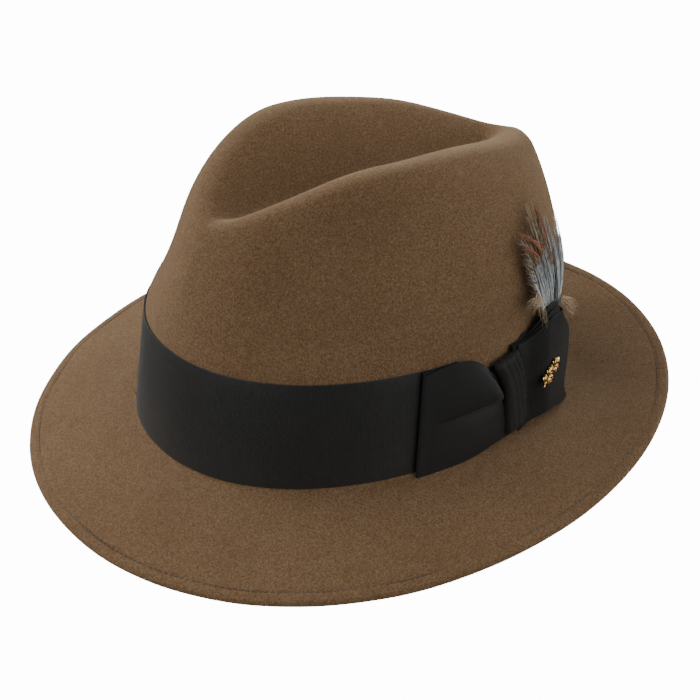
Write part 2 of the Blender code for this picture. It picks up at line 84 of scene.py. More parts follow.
SIDE_FULL, SIDE_FULL_FRONT = 0.145, 0.060
VALLEY_FRONT, VALLEY_BACK = -0.056, 0.074
VALLEY_HEIGHT, VALLEY_RISE = 0.094, 0.003
PINCH_DEPTH, PINCH_HEIGHT, PINCH_TALL = 0.0055, 0.075, 0.023
PINCH_TURN, PINCH_SPREAD = math.radians(36), math.radians(25)
HOLLOW_DEPTH, HOLLOW_HEIGHT, HOLLOW_TALL = 0.0062, 0.098, 0.016
HOLLOW_TURN, HOLLOW_SPREAD = math.radians(68), math.radians(37)
BRIM_WIDTH = 0.0522
BRIM_MEAN = math.radians(-4.5)
BRIM_SNAP = math.radians(-16.8)
BRIM_SIDES = math.radians(3.2)
BRIM_CORNERS = math.radians(0.3)
BRIM_LEFT_DIP = math.radians(-2.2)
BRIM_TWIST = math.radians(-3.3)
BRIM_TWIST_CORNERS = math.radians(0.7)
GROOVE = 0.00020
GAP = 0.0003
RIBBON = 0.0005
STITCH_INSET = 0.0052
SWEATBAND, SWEATBAND_OFFSET = 0.0012, -0.0034
LINING, LINING_OFFSET = 0.0003, -0.0026
TIP_HEIGHT = 0.084
KNOT_END = math.radians(103.5)
LOOP_TALL, LOOP_PROUD, CREASE = 1.12, 0.0076, 0.485
PIN_TURN, PIN_LEVEL = math.radians(111.2), 0.55

# --- more dimensions, of the visible pieces only ----------
SEAM = BRIM_WIDTH - STITCH_INSET
NOSE = WELT_THICKNESS / 2
BAND_RADIUS, SEAM_RADIUS = 0.09, 0.15  # about how far band and seam lie from the middle
GROOVE_HALF_WIDTH = 0.00055
RIB_PITCH, RIB_STEPS, RIB_HIGH = 0.00078, 4, 0.00009
BAND_LENGTH = 0.598
BAND_START, BAND_JOIN_GAP = math.radians(99.3), math.radians(0.8)
WING_LAYER_LENGTH = 0.036
WING_START, LOOP_START = math.radians(73.3), math.radians(101.5)
INNER_LAYER = 0.0020
SEWN_LEVEL = 0.075
LINING_TOP_ROW = 1.40
LEAF_HALF_WIDTH = 0.00140
STRAP_LIFT = 0.0024
STRAP_FOLDS = (  # place across the strap, lean, depth, width
    (0.78, 0.06, 0.00042, 0.020), (0.88, 0.03, 0.00030, 0.018), (0.40, 0.10, 0.00010, 0.060))
TACKS = ((47.0, 0.13), (-26.3, 0.10), (180.0, 0.13))  # turn in degrees, level
PIN_LEAN, PIN_LIFT = math.radians(-56), 0.0005


# --- the shape of the hat, for whole arrays of turns ----------
def vec(x, y, z):
    return np.stack(np.broadcast_arrays(x, y, z), -1).astype(float)


def unit(v):
    return v / np.maximum(np.linalg.norm(v, axis=-1, keepdims=True), 1e-12)


def smooth(value):
    value = np.clip(value, 0.0, 1.0)
    return value * value * (3.0 - 2.0 * value)


def mix(a, b, share):
    return a + (b - a) * share


def ramp(value, start, width):
    """0 up to start, then a smooth rise to 1 over width."""
    return smooth((value - start) / width)


def bell(value, middle, width):
    return np.exp(-((value - middle) / width) ** 2)


def curve(a, b, c, share):
    """The quadratic curve from a to c that sets off towards b."""
    return (1 - share) ** 2 * a + 2 * share * (1 - share) * b + share ** 2 * c


def signed_power(value, power):
    return np.sign(value) * np.abs(value) ** power


def oval(turn, inset=0.0):
    power = 2.0 / OVAL_POWER
    x = (HEAD_HALF_WIDTH - inset) * signed_power(np.sin(turn), power)
    y = -(HEAD_HALF_LENGTH - inset) * signed_power(np.cos(turn), power)
    return x * (1.0 - OVAL_EGG * np.cos(turn)), y


def oval_normal(turn):
    (ax, ay), (bx, by) = oval(turn - 0.001), oval(turn + 0.001)
    return unit(vec(by - ay, ax - bx, 0.0))


def break_height(turn):
    return -BREAK_RISE * np.cos(2.0 * turn)


def back_left(turn):
    """1 at the back left end of the ridge, 0 away from it."""
    return np.exp(RIDGE_HUMP_TIGHT * (np.cos(turn - RIDGE_HUMP_TURN) - 1.0))


def ridge(turn):
    """The crown's top edge: high in front of the middle, falling to both ends."""
    c, s = np.cos(turn), np.sin(turn)
    y = np.where(c > 0.0, RIDGE_FRONT * c, -RIDGE_BACK * c)
    power = RIDGE_POWER + RIDGE_POWER_FRONT * c
    x = RIDGE_SHIFT * np.abs(s) + RIDGE_HALF_WIDTH * signed_power(s, power)
    front = RIDGE_DROP_FRONT * ((y - RIDGE_PEAK_Y) / (RIDGE_PEAK_Y - RIDGE_FRONT)) ** 2
    behind = np.maximum(y - RIDGE_PEAK_Y, 0.0) / (RIDGE_BACK - RIDGE_PEAK_Y)
    back = RIDGE_DROP_BACK * behind ** (RIDGE_BACK_POWER + RIDGE_BACK_POWER_LEFT * s)
    drop = np.where(y < RIDGE_PEAK_Y, front, back) + RIDGE_LEFT_DROP * np.maximum(s, 0.0) ** 2
    return vec(x, y, RIDGE_PEAK - drop + RIDGE_HUMP * back_left(turn))


def wall_foot(turn):
    x, y = oval(turn)
    return vec(x, y, break_height(turn))


def band_top(turn):
    x, y = oval(turn, TAPER_MEAN + TAPER_FRONT * np.cos(turn))
    return vec(x, y, BAND_HEIGHT + 0.5 * break_height(turn))


def pinch(point, share):
    """Presses the two front pinches, and the left side's hollow, into the crown's side."""
    left = np.arctan2(point[..., 0], -point[..., 1])
    depth = PINCH_DEPTH * bell(np.abs(left), PINCH_TURN, PINCH_SPREAD)
    depth = depth * bell(point[..., 2], PINCH_HEIGHT, PINCH_TALL)
    depth = depth * np.minimum(1.0, share / 0.12) * np.minimum(1.0, (1.0 - share) / 0.35)
    hollow = HOLLOW_DEPTH * bell(left, HOLLOW_TURN, HOLLOW_SPREAD)
    hollow = hollow * bell(point[..., 2], HOLLOW_HEIGHT, HOLLOW_TALL)
    depth = depth + hollow * np.minimum(1.0, share / 0.12) * np.minimum(1.0, (1.0 - share) / 0.15)
    shrink = 1.0 - depth / np.hypot(point[..., 0], point[..., 1])
    return vec(point[..., 0] * shrink, point[..., 1] * shrink, point[..., 2])


def side_point(turn, share):
    """The crown's side, from the band's top edge (share 0) to the ridge (1), as a cubic curve."""
    foot, start, end = wall_foot(turn), band_top(turn), ridge(turn)
    climb = (0.60 - 0.10 * np.cos(turn)) * (end[..., 2] - start[..., 2])
    low = start + (start - foot) / BAND_HEIGHT * climb[..., None]
    low[..., 2] = start[..., 2] + climb
    full = SIDE_FULL + SIDE_FULL_FRONT * np.cos(turn)
    high = end + (start - end) * full[..., None]
    high[..., 2] = end[..., 2]
    s = np.broadcast_to(share, end.shape[:-1])[..., None] if np.ndim(share) else share
    rest = 1.0 - s
    point = rest ** 3 * start + 3 * s * rest ** 2 * low + 3 * s ** 2 * rest * high + s ** 3 * end
    return pinch(point, share)


def dent_point(turn, share):
    """The centre dent, from the ridge (share 0) to the line along its floor (1)."""
    top = ridge(turn)
    scale = np.where(top[..., 1] < 0.0, VALLEY_FRONT / RIDGE_FRONT, VALLEY_BACK / RIDGE_BACK)
    valley_y = top[..., 1] * scale
    valley_z = VALLEY_HEIGHT + VALLEY_RISE * (valley_y / VALLEY_BACK) ** 2
    rest = 1.0 - share
    return vec(top[..., 0] * rest, valley_y + (top[..., 1] - valley_y) * rest,
               valley_z + (top[..., 2] - valley_z) * smooth(rest))


def crown_point(turn, row):
    """Outside of the crown: row 0 to 1 is the hatband zone, 1 to 2 the side, 2 to 3 the dent."""
    turn, row = np.broadcast_arrays(np.asarray(turn, float), np.asarray(row, float))
    foot, top = wall_foot(turn), band_top(turn)
    zone = foot + (top - foot) * row[..., None]
    side = side_point(turn, np.clip(row - 1.0, 0.0, 1.0))
    dent = dent_point(turn, np.clip(row - 2.0, 0.0, 1.0))
    reach = RIDGE_ROUND + RIDGE_ROUND_MORE * back_left(turn)
    share = (np.clip((row - 2.0) / reach, -1.0, 1.0)[..., None] + 1.0) / 2.0
    arc = curve(side_point(turn, 1.0 - reach), ridge(turn), dent_point(turn, reach), share)
    wall = np.where(row[..., None] <= 1.0, zone, np.where(row[..., None] <= 2.0, side, dent))
    return np.where(np.abs(row - 2.0)[..., None] < reach[..., None], arc, wall)


def crown_offset(turn, row, offset):
    step = 0.002
    along = crown_point(turn + step, row) - crown_point(turn - step, row)
    up = crown_point(turn, row + step) - crown_point(turn, np.maximum(row - step, 0.0))
    push = np.asarray(offset, float)
    return crown_point(turn, row) + unit(np.cross(along, up)) * (push[..., None] if push.ndim else push)


def band_point(turn, level, offset):
    """A point off the hatband zone, pushed straight out sideways; level runs up the zone."""
    turn, level, offset = np.broadcast_arrays(*(np.asarray(v, float) for v in (turn, level, offset)))
    foot, top = wall_foot(turn), band_top(turn)
    return foot + (top - foot) * level[..., None] + oval_normal(turn) * offset[..., None]


def brim_slope(turn):
    return (BRIM_MEAN + BRIM_SNAP * np.cos(turn) + BRIM_SIDES * np.cos(2 * turn)
            + BRIM_CORNERS * np.cos(3 * turn) + BRIM_LEFT_DIP * np.sin(turn)
            + BRIM_TWIST * np.sin(2 * turn) + BRIM_TWIST_CORNERS * np.sin(3 * turn))


def brim_point(turn, out):
    """Top of the brim, at a distance out from the break."""
    turn, out = np.broadcast_arrays(np.asarray(turn, float), np.asarray(out, float))
    slope = brim_slope(turn)
    point = wall_foot(turn) + oval_normal(turn) * (out * np.cos(slope))[..., None]
    point[..., 2] += BRIM_WIDTH * np.sin(slope) * (out / BRIM_WIDTH) ** 1.15
    return point


def brim_normal(turn, out):
    step = 0.0005
    across = brim_point(turn, out + step) - brim_point(turn, np.maximum(out - step, 0.0))
    along = brim_point(turn + 0.002, out) - brim_point(turn - 0.002, out)
    return unit(np.cross(across, along))


def bow_pinch(turn):
    """1 where the bow's strap gathers the band and its backing, 0 away from it."""
    degrees = np.degrees(turn)
    return ramp(degrees, 84.0, 8.5) * (1.0 - ramp(degrees, 100.5, 5.5))


def front_top(turn):
    """Top of the front loop: full, then rounded down to the crease beside the strap."""
    reach = np.clip((np.degrees(turn) - 85.4) / 10.9, 0.0, 1.0)
    return 0.51 + 0.515 * (1.0 - reach ** 2)


def wing_top(turn):
    """The rear wing widens from the strap to its fold."""
    degrees = np.degrees(turn)
    return 0.945 + 0.16 * ramp(degrees, 104.0, 9.0) - 0.03 * ramp(degrees, 112.0, 8.0)


def wing_low(turn):
    """The rear wing's lower edge is arched."""
    return 0.03 + 0.09 * bell(np.degrees(turn), 111.5, 6.5)


def knot_sides(height):
    """Turns of the strap's two sides, which lean apart from each other, at a share of its height."""
    return (np.radians(97.2 - 0.8 * height - 2.6 * height ** 4),
            np.radians(104.4 - 0.4 * height - 2.6 * height ** 3))


def rear_end(level):
    """Turn of the rear loop's fold: fullest at two thirds of its height, pulled in at the top."""
    return np.radians(121.2 + 4.3 * ramp(level, 0.12, 0.45) - 7.4 * ramp(level, 0.72, 0.42)
                      + 2.3 * np.exp(-(level / 0.1) ** 2))


def loop_offset(turn):
    """How far the rear loop's outer layer stands off: low under the knot, proud behind it."""
    return 0.0033 + (LOOP_PROUD - 0.0033) * smooth((turn - KNOT_END - 0.02) / math.radians(7))


# --- mesh helpers ----------
def put(name, data):
    made = bpy.data.objects.new(name, data)
    bpy.context.scene.collection.objects.link(made)
    return made


def settle(piece, body, slot, *nodes):
    """Fixes a piece to its body and hides the CAD nodes it stands for; slot is not used."""
    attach(piece, body)
    if nodes:
        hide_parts(*nodes)


def add_mesh(name, points, faces, look, merge=False, sharp=None, shade=None):
    """An object from points and faces, which are turned outwards; merge joins doubled points."""
    mesh = bpy.data.meshes.new(name)
    mesh.from_pydata(np.asarray(points, float).reshape(-1, 3).tolist(), [], faces)
    if shade is not None:
        mesh.attributes.new("shade", "FLOAT", "POINT").data.foreach_set(
            "value", np.asarray(shade, np.float32).ravel())
    bm = bmesh.new()
    bm.from_mesh(mesh)
    if merge:
        bmesh.ops.remove_doubles(bm, verts=bm.verts, dist=1e-6)
    bmesh.ops.recalc_face_normals(bm, faces=bm.faces)
    bm.to_mesh(mesh)
    bm.free()
    mesh.shade_smooth()
    if sharp is not None:
        mesh.set_sharp_from_angle(angle=math.radians(sharp))
    mesh.materials.append(look)
    return put(name, mesh)


def grid_faces(rows, columns, wrap=False, start=0):
    i = np.arange(rows - 1)[:, None]
    j = np.arange(columns if wrap else columns - 1)[None, :]
    k = (j + 1) % columns
    quads = np.stack([i * columns + j, i * columns + k, (i + 1) * columns + k,
                      (i + 1) * columns + j], -1)
    return (start + quads.reshape(-1, 4)).tolist()


def grid_normals(grid, wrap=False):
    if wrap:
        along = np.roll(grid, -1, 1) - np.roll(grid, 1, 1)
    else:
        along = np.gradient(grid, axis=1)
    up = np.gradient(grid, axis=0)
    return unit(np.cross(along, up))


def shell_faces(rows, columns, wrap=False):
    """Faces of a closed shell: two grids of points, one after the other, and the rims between."""
    size = rows * columns
    faces = grid_faces(rows, columns, wrap) + grid_faces(rows, columns, wrap, size)
    rims = [np.arange(columns), (rows - 1) * columns + np.arange(columns)]
    if wrap:
        rims = [np.append(rim, rim[0]) for rim in rims]
    else:
        rims += [np.arange(rows) * columns, np.arange(rows) * columns + columns - 1]
    for rim in rims:
        faces += np.stack([rim[:-1], rim[1:], rim[1:] + size, rim[:-1] + size], -1).tolist()
    return faces


def shell_parts(grid, thickness):
    """Points and faces of a thin closed shell through a grid."""
    lift = grid_normals(grid) * thickness / 2
    both = [(grid + lift).reshape(-1, 3), (grid - lift).reshape(-1, 3)]
    return np.concatenate(both), shell_faces(*grid.shape[:2])


def cloth_mesh(name, grid, thickness, look, relief=0.0, wrap=False):
    """A thin closed piece round a grid of points, rows by columns: its outer side (along the
    grid's normal) may carry a relief."""
    rows, columns = grid.shape[:2]
    normal = grid_normals(grid, wrap)
    front = grid + normal * np.broadcast_to(thickness / 2 + relief, (rows, columns))[..., None]
    back = grid - normal * (thickness / 2)
    faces = shell_faces(rows, columns, wrap)
    return add_mesh(name, np.concatenate([front, back]), faces, look, sharp=50)


def tube_parts(paths, radii, up, sides=6, flat=1.0):
    """Points and faces of many closed tubes at once; paths is tubes by points by 3."""
    tubes, count = paths.shape[:2]
    along = unit(np.gradient(paths, axis=1))
    side = unit(np.cross(along, np.broadcast_to(up, paths.shape)))
    over = np.cross(side, along)
    angle = 2 * PI * np.arange(sides) / sides
    ring = (np.cos(angle)[:, None] * side[:, :, None, :]
            + flat * np.sin(angle)[:, None] * over[:, :, None, :])
    width = np.broadcast_to(radii, (tubes, count))[..., None, None]
    points = paths[:, :, None, :] + width * ring
    block = count * sides
    base = (np.arange(tubes) * block)[:, None, None]
    i, j = np.arange(count - 1)[None, :, None], np.arange(sides)[None, None, :]
    k = (j + 1) % sides
    quads = np.stack(np.broadcast_arrays(
        base + i * sides + j, base + i * sides + k,
        base + (i + 1) * sides + k, base + (i + 1) * sides + j), -1).reshape(-1, 4).tolist()
    starts = base[:, 0] + np.arange(sides)[None, :]
    caps = starts[:, ::-1].tolist() + (starts + block - sides).tolist()
    return points.reshape(-1, 3), quads + caps


def join_parts(parts):
    points, faces, start = [], [], 0
    for some, polygons in parts:
        some = np.asarray(some, float).reshape(-1, 3)
        points.append(some)
        faces += [[v + start for v in polygon] for polygon in polygons]
        start += len(some)
    return np.concatenate(points), faces


def facing(point, outward, roll=0.0):
    """A matrix at point whose Z looks outwards and whose Y is up, turned by roll."""
    outward = Vector(outward)
    side = Vector((0.0, 0.0, 1.0)).cross(outward).normalized()
    up = outward.cross(side)
    turned = Matrix((side, up, outward)).transposed().to_4x4() @ Matrix.Rotation(roll, 4, "Z")
    return Matrix.Translation(Vector(point)) @ turned


# --- materials ----------
def wire(tree, kind, inputs=None, **settings):
    """A node with its inputs set: a socket is linked and anything else is a fixed value."""
    node = tree.nodes.new(kind)
    for key, value in settings.items():
        setattr(node, key, value)
    for key, value in (inputs or {}).items():
        if isinstance(value, bpy.types.NodeSocket):
            tree.links.new(value, node.inputs[key])
        else:
            node.inputs[key].default_value = value
    return node


class Look:
    """A material in the making; its textures lie in object space."""

    def __init__(self, name, **fixed):
        self.made = bpy.data.materials.new(name)
        self.made.use_nodes = True
        self.tree = self.made.node_tree
        self.shader = self.tree.nodes["Principled BSDF"]
        for key, value in fixed.items():
            self.shader.inputs[key.replace("_", " ")].default_value = value
        self.place = self.node("ShaderNodeTexCoord").outputs["Object"]

    def node(self, kind, inputs=None, **settings):
        return wire(self.tree, kind, inputs, **settings)

    def noise(self, scale, detail=2.0, stretch=None, rough=0.5):
        place = self.place
        if stretch is not None:
            place = self.node("ShaderNodeMapping", {"Vector": place, "Scale": stretch}).outputs[0]
        return self.node("ShaderNodeTexNoise", {"Vector": place, "Scale": scale, "Detail": detail,
                                                "Roughness": rough}).outputs["Fac"]

    def spread(self, value, low, high, to_low, to_high):
        return self.node("ShaderNodeMapRange", {"Value": value, "From Min": low, "From Max": high,
                                                "To Min": to_low, "To Max": to_high}).outputs[0]

    def maths(self, operation, a, b):
        return self.node("ShaderNodeMath", {0: a, 1: b}, operation=operation).outputs[0]

    def paint(self, colour, *layers):
        """A colour with others laid over it: each is (mask, its value where the layer starts, its
        value where the layer is full, how much the full layer covers, colour)."""
        colour = (*colour, 1.0)
        for mask, low, high, most, over in layers:
            share = self.spread(mask, low, high, 0.0, most)
            colour = self.node("ShaderNodeMix", {0: share, 6: colour, 7: (*over, 1.0)},
                               data_type="RGBA").outputs[2]
        self.tree.links.new(colour, self.shader.inputs["Base Color"])

    def roughen(self, mask, low, high, least, most):
        self.tree.links.new(self.spread(mask, low, high, least, most), self.shader.inputs["Roughness"])

    def bump(self, height, strength, distance):
        node = self.node("ShaderNodeBump",
                         {"Height": height, "Strength": strength, "Distance": distance})
        self.tree.links.new(node.outputs[0], self.shader.inputs["Normal"])


def felt_look():
    """Fur felt: short fibres lie every way, so the colour is finely speckled and a little cloudy."""
    look = Look("fur_felt", Roughness=0.94, Sheen_Weight=0.24, Sheen_Roughness=0.50,
                Sheen_Tint=(1.0, 0.80, 0.54, 1.0), Specular_IOR_Level=0.10)
    cloud, mottle = look.noise(26.0, 3.0), look.noise(210.0, 3.0)
    speck = look.noise(1250.0, 3.0, rough=0.7)
    fibre = look.noise(2600.0, stretch=(1.0, 0.35, 0.6))
    look.paint((0.181, 0.106, 0.053), (cloud, 0.3, 0.7, 1.0, (0.215, 0.129, 0.068)),
               (mottle, 0.35, 0.7, 0.55, (0.221, 0.145, 0.081)),
               (speck, 0.44, 0.60, 0.85, (0.112, 0.060, 0.028)),
               (fibre, 0.58, 0.72, 0.52, (0.360, 0.246, 0.138)))
    nap = look.maths("ADD", look.maths("MULTIPLY", speck, 0.7), look.maths("MULTIPLY", fibre, 0.5))
    look.bump(look.maths("ADD", nap, look.maths("MULTIPLY", mottle, 0.5)), 0.45, 0.0005)
    return look.made


def grosgrain_look(name, roughness, gloss, sheen, depth):
    look = Look(name, Roughness=roughness, Sheen_Weight=sheen, Sheen_Roughness=0.35,
                Specular_IOR_Level=gloss)
    yarn = look.noise(900.0, stretch=(1.0, 1.0, 4.0))
    # depth scales the ribbon's base colour: 1.0 on the band, while the bow's copies are painted darker
    # or lighter to stand in for how the lamps fall on them (painted shade and painted light).
    dark, light, faded = ([depth * part for part in colour] for colour in (
        (0.0066, 0.0066, 0.0064), (0.0130, 0.0127, 0.0117), (0.0150, 0.0145, 0.0130)))
    look.paint(dark, (yarn, 0.35, 0.68, 1.0, light), (look.noise(70.0), 0.45, 0.75, 0.4, faded))
    look.roughen(yarn, 0.3, 0.7, roughness - 0.08, roughness + 0.08)
    look.bump(yarn, 0.25, 0.0002)
    return look.made


def thread_look(name, dark, light):
    look = Look(name, Roughness=0.7, Sheen_Weight=0.15)
    twist = look.node("ShaderNodeTexWave", {"Vector": look.place, "Scale": 900.0, "Distortion": 1.5},
                      bands_direction="DIAGONAL").outputs["Fac"]
    share = look.maths("MULTIPLY", look.maths("ADD", twist, look.noise(1500.0)), 0.5)
    look.paint(dark, (share, 0.0, 1.0, 1.0, light))
    look.bump(share, 0.4, 0.0001)
    return look.made


def leather_look():
    look = Look("sweatband_leather", Roughness=0.48, Specular_IOR_Level=0.4)
    pores = look.node("ShaderNodeTexVoronoi",
                      {"Vector": look.place, "Scale": 900.0}).outputs["Distance"]
    cloud, crease = look.noise(60.0, 4.0), look.noise(380.0, 4.0, rough=0.65)
    look.paint((0.120, 0.058, 0.026), (cloud, 0.3, 0.7, 1.0, (0.175, 0.092, 0.045)),
               (crease, 0.5, 0.75, 0.6, (0.075, 0.034, 0.016)))
    look.roughen(cloud, 0.3, 0.7, 0.38, 0.58)
    look.bump(look.maths("ADD", pores, crease), 0.3, 0.0002)
    return look.made


def satin_look():
    look = Look("lining_satin", Roughness=0.34, Sheen_Weight=0.35, Sheen_Roughness=0.3,
                Specular_IOR_Level=0.5)
    yarn = look.noise(1500.0, stretch=(1.0, 1.0, 0.12))
    look.paint((0.115, 0.078, 0.046), (yarn, 0.3, 0.7, 1.0, (0.165, 0.115, 0.070)),
               (look.noise(45.0, 3.0), 0.4, 0.75, 0.5, (0.20, 0.145, 0.092)))
    look.roughen(yarn, 0.3, 0.7, 0.28, 0.42)
    look.bump(yarn, 0.2, 0.0001)
    return look.made


def film_look():
    look = Look("clear_film", Roughness=0.08, Transmission_Weight=0.92, IOR=1.46)
    haze = look.noise(90.0, 3.0)
    look.paint((0.90, 0.89, 0.85), (haze, 0.0, 1.0, 1.0, (0.97, 0.97, 0.95)))
    look.roughen(haze, 0.3, 0.8, 0.05, 0.16)
    return look.made


def tape_look():
    look = Look("woven_tape", Roughness=0.78, Sheen_Weight=0.2)
    yarn = look.noise(1400.0, 1.0, stretch=(1.0, 1.0, 3.0))
    look.paint((0.020, 0.015, 0.012), (yarn, 0.35, 0.65, 1.0, (0.050, 0.040, 0.032)))
    look.bump(yarn, 0.4, 0.0002)
    return look.made


def plastic_look():
    look = Look("reed_plastic", Roughness=0.36, Specular_IOR_Level=0.5)
    cloud = look.noise(120.0, 3.0)
    look.paint((0.46, 0.43, 0.37), (cloud, 0.0, 1.0, 1.0, (0.60, 0.57, 0.50)))
    look.roughen(cloud, 0.3, 0.7, 0.3, 0.45)
    return look.made


def metal_look(name, dark, light, roughness):
    look = Look(name, Roughness=roughness, Metallic=1.0)
    wear = look.noise(420.0, 4.0, rough=0.6)
    look.paint(dark, (wear, 0.35, 0.65, 1.0, light))
    look.roughen(look.noise(2400.0), 0.3, 0.7, roughness * 0.75, roughness * 1.5)
    look.bump(wear, 0.25, 0.0002)
    return look.made


def feather_look(name, dark, light, streak):
    """Barbs differ in shade, and each is barred a little along its length."""
    look = Look(name, Roughness=0.62, Sheen_Weight=0.25, Sheen_Roughness=0.4, Specular_IOR_Level=0.3)
    shade = look.node("ShaderNodeAttribute", attribute_name="shade").outputs["Fac"]
    bars = look.noise(420.0, 3.0)
    look.paint(dark, (shade, 0.0, 1.0, 1.0, light), (bars, 0.50, 0.68, 0.75, streak))
    look.roughen(bars, 0.3, 0.7, 0.52, 0.72)
    return look.made


# --- felt ----------
def felt_turns(half=180):
    """Turns round the hat, closer together at the back, where the ridge line bends fastest."""
    rear = PI - PI * np.linspace(1.0, 0.0, half + 1) ** 1.35
    return np.concatenate([rear, 2 * PI - rear[-2:0:-1]])


def undulation(points, row_share):
    """The slight unevenness of hand-blocked felt; row_share is 0 where the hatband lies."""
    x, y, z = points[..., 0], points[..., 1], points[..., 2]
    wave = (np.sin(58 * x + 31 * y + 1.3) * np.cos(44 * y - 26 * z + 0.7)
            + 0.6 * np.sin(96 * y - 71 * x + 40 * z + 2.1) + 0.35 * np.sin(151 * x + 120 * y + 0.4))
    return 0.00028 * wave * row_share


def felt_grid(turn):
    """Rows of points over the outside, dent to brim edge.  With them come each row's level on the
    crown (0 off it) and how far out on the brim it lies (0 off it)."""
    crown_rows = np.concatenate([np.linspace(3.0, 2.0, 28)[:-1], np.linspace(2.0, 1.0, 46)[:-1],
                                 np.linspace(1.0, 0.06, 10)])
    blend_low = 0.0024
    start = crown_point(turn, blend_low / BAND_HEIGHT)
    finish = brim_point(turn, blend_low)
    foot = wall_foot(turn)
    corner = [curve(start, foot, finish, s) for s in (0.0, 0.2, 0.4, 0.6, 0.8, 1.0)]
    outs = np.concatenate([np.linspace(blend_low, SEAM - 0.002, 30)[1:],
                           np.linspace(SEAM - 0.002, SEAM + 0.002, 15)[1:],
                           np.linspace(SEAM + 0.002, BRIM_WIDTH - NOSE, 4)[1:]])
    crown = crown_point(turn[None, :], crown_rows[:, None])
    brim = brim_point(turn[None, :], outs[:, None])
    grid = np.concatenate([crown, np.stack(corner), brim])
    level = np.concatenate([crown_rows, np.zeros(len(corner)), np.zeros(len(outs))])
    out = np.concatenate([np.zeros(len(crown_rows) + len(corner)), outs])
    return grid, level, out


def felt_normals(grid):
    """Outward normals; the first row is a line along the dent's floor, so it faces up with no lean."""
    normal = grid_normals(grid, wrap=True)
    half = grid.shape[1] // 2
    normal[0, 0], normal[0, half] = normal[1, 0], normal[1, half]
    normal[0, :, 0] = 0.0
    normal = unit(normal)
    side = grid.shape[0] // 2, half // 2
    if normal[side] @ (grid[side] * (1, 1, 0)) < 0:
        normal = -normal
    return normal


def make_felt(look):
    turn = felt_turns()
    grid, level, out = felt_grid(turn)
    normal = felt_normals(grid)
    groove = -GROOVE * bell(out, SEAM, GROOVE_HALF_WIDTH)
    roll = 0.00010 * bell(out, SEAM + 0.0019, 0.0013) * (out > 0)
    free = np.where(level > 1.0, ramp(level, 1.06, 0.25), ramp(out, 0.006, 0.012))
    push = undulation(grid, free[:, None])
    top = grid + normal * (push + groove[:, None] + roll[:, None])[..., None]

    last, facing_up = grid[-1] + normal[-1] * push[-1][:, None], normal[-1]
    outward = unit(grid[-1] - grid[-2])
    centre = last - facing_up * NOSE
    angles = np.linspace(0.0, PI, 11)[1:-1]
    edge = np.stack([centre + facing_up * NOSE * math.cos(a) + outward * NOSE * math.sin(a)
                     for a in angles])

    welt = BRIM_WIDTH - WELT_WIDTH
    keep = [i for i in range(len(level)) if level[i] == 0.0 or i % 2 == 0 or i < 2]
    under_out = np.sort(np.concatenate([out[out > 0], welt - np.array([0.0, 0.0003, 0.0006, 0.0009])]))
    inner_rows = [i for i in keep if out[i] == 0.0]
    inner = grid[inner_rows] + normal[inner_rows] * (push[inner_rows] - FELT)[..., None]
    below = brim_point(turn[None, :], under_out[:, None])
    below_normal = brim_normal(np.broadcast_to(turn, below.shape[:2]),
                               np.broadcast_to(under_out[:, None], below.shape[:2]))
    step = np.where(under_out > welt, WELT_THICKNESS, FELT + (WELT_THICKNESS - FELT)
                    * smooth((under_out - welt + 0.0009) / 0.0009))
    depth = step - 0.5 * GROOVE * bell(under_out, SEAM, GROOVE_HALF_WIDTH)
    free_below = ramp(under_out, 0.006, 0.012)
    below = below + below_normal * (undulation(below, free_below[:, None]) - depth[:, None])[..., None]

    rows = np.concatenate([top, edge, below[::-1], inner[::-1]])
    felt = add_mesh("felt_hat", rows, grid_faces(len(rows), len(turn), wrap=True), look, merge=True)
    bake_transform(felt)
    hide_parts("felt_body", "front_brim")


def even_ring(path, count):
    """Turns that put count points at even steps along a closed path given by a function."""
    turn = np.linspace(0.0, 2 * PI, 6001)
    points = path(turn)
    length = np.concatenate([[0.0], np.cumsum(np.linalg.norm(np.diff(points, axis=0), axis=1))])
    return np.interp(np.linspace(0.0, length[-1], count, endpoint=False), length, turn), length[-1]


def make_edge_stitches(look):
    """Lockstitch round the brim: short stitches above and below that dip into the felt."""
    pitch, radius = 0.0025, 0.00027

    def path(turn):
        return brim_point(turn, SEAM)

    count = int(even_ring(path, 10)[1] / pitch)
    share = np.linspace(-1.0, 1.0, 7)
    turn = even_ring(path, count)[0][:, None] + share[None, :] * (0.40 * pitch / SEAM_RADIUS)
    normal = brim_normal(turn, np.full_like(turn, SEAM))
    arch = radius * (0.55 - 1.6 * share ** 4)
    sizes = radius * (1.0 - 0.35 * share ** 4)
    parts = [tube_parts(path(turn) + normal * height[None, :, None], sizes[None, :], normal)
             for height in (arch - 0.00022, 0.00010 - WELT_THICKNESS - arch)]
    stitches = add_mesh("edge_stitches", *join_parts(parts), look)
    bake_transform(stitches)
    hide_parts("edge_stitch_rear", "edge_stitch_front")


# --- hatband and bow ----------
def rib_relief(columns, rows_mask):
    """Round ribs across the ribbon, fading at its woven edges."""
    wave = 0.5 + 0.5 * np.cos(2 * PI * np.arange(columns) / RIB_STEPS)
    return RIB_HIGH * wave[None, :] * rows_mask[:, None]


def edge_levels(count, edge=0.018):
    """Shares of a ribbon's width, with close rows for the woven edges."""
    inner = np.linspace(edge, 1.0 - edge, count)
    return np.concatenate([[0.0, edge * 0.45], inner, [1.0 - edge * 0.45, 1.0]])


def edge_mask(levels):
    return smooth(levels / 0.02) * smooth((1.0 - levels) / 0.02)


def band_columns(length):
    return int(round(length / RIB_PITCH)) * RIB_STEPS + 1


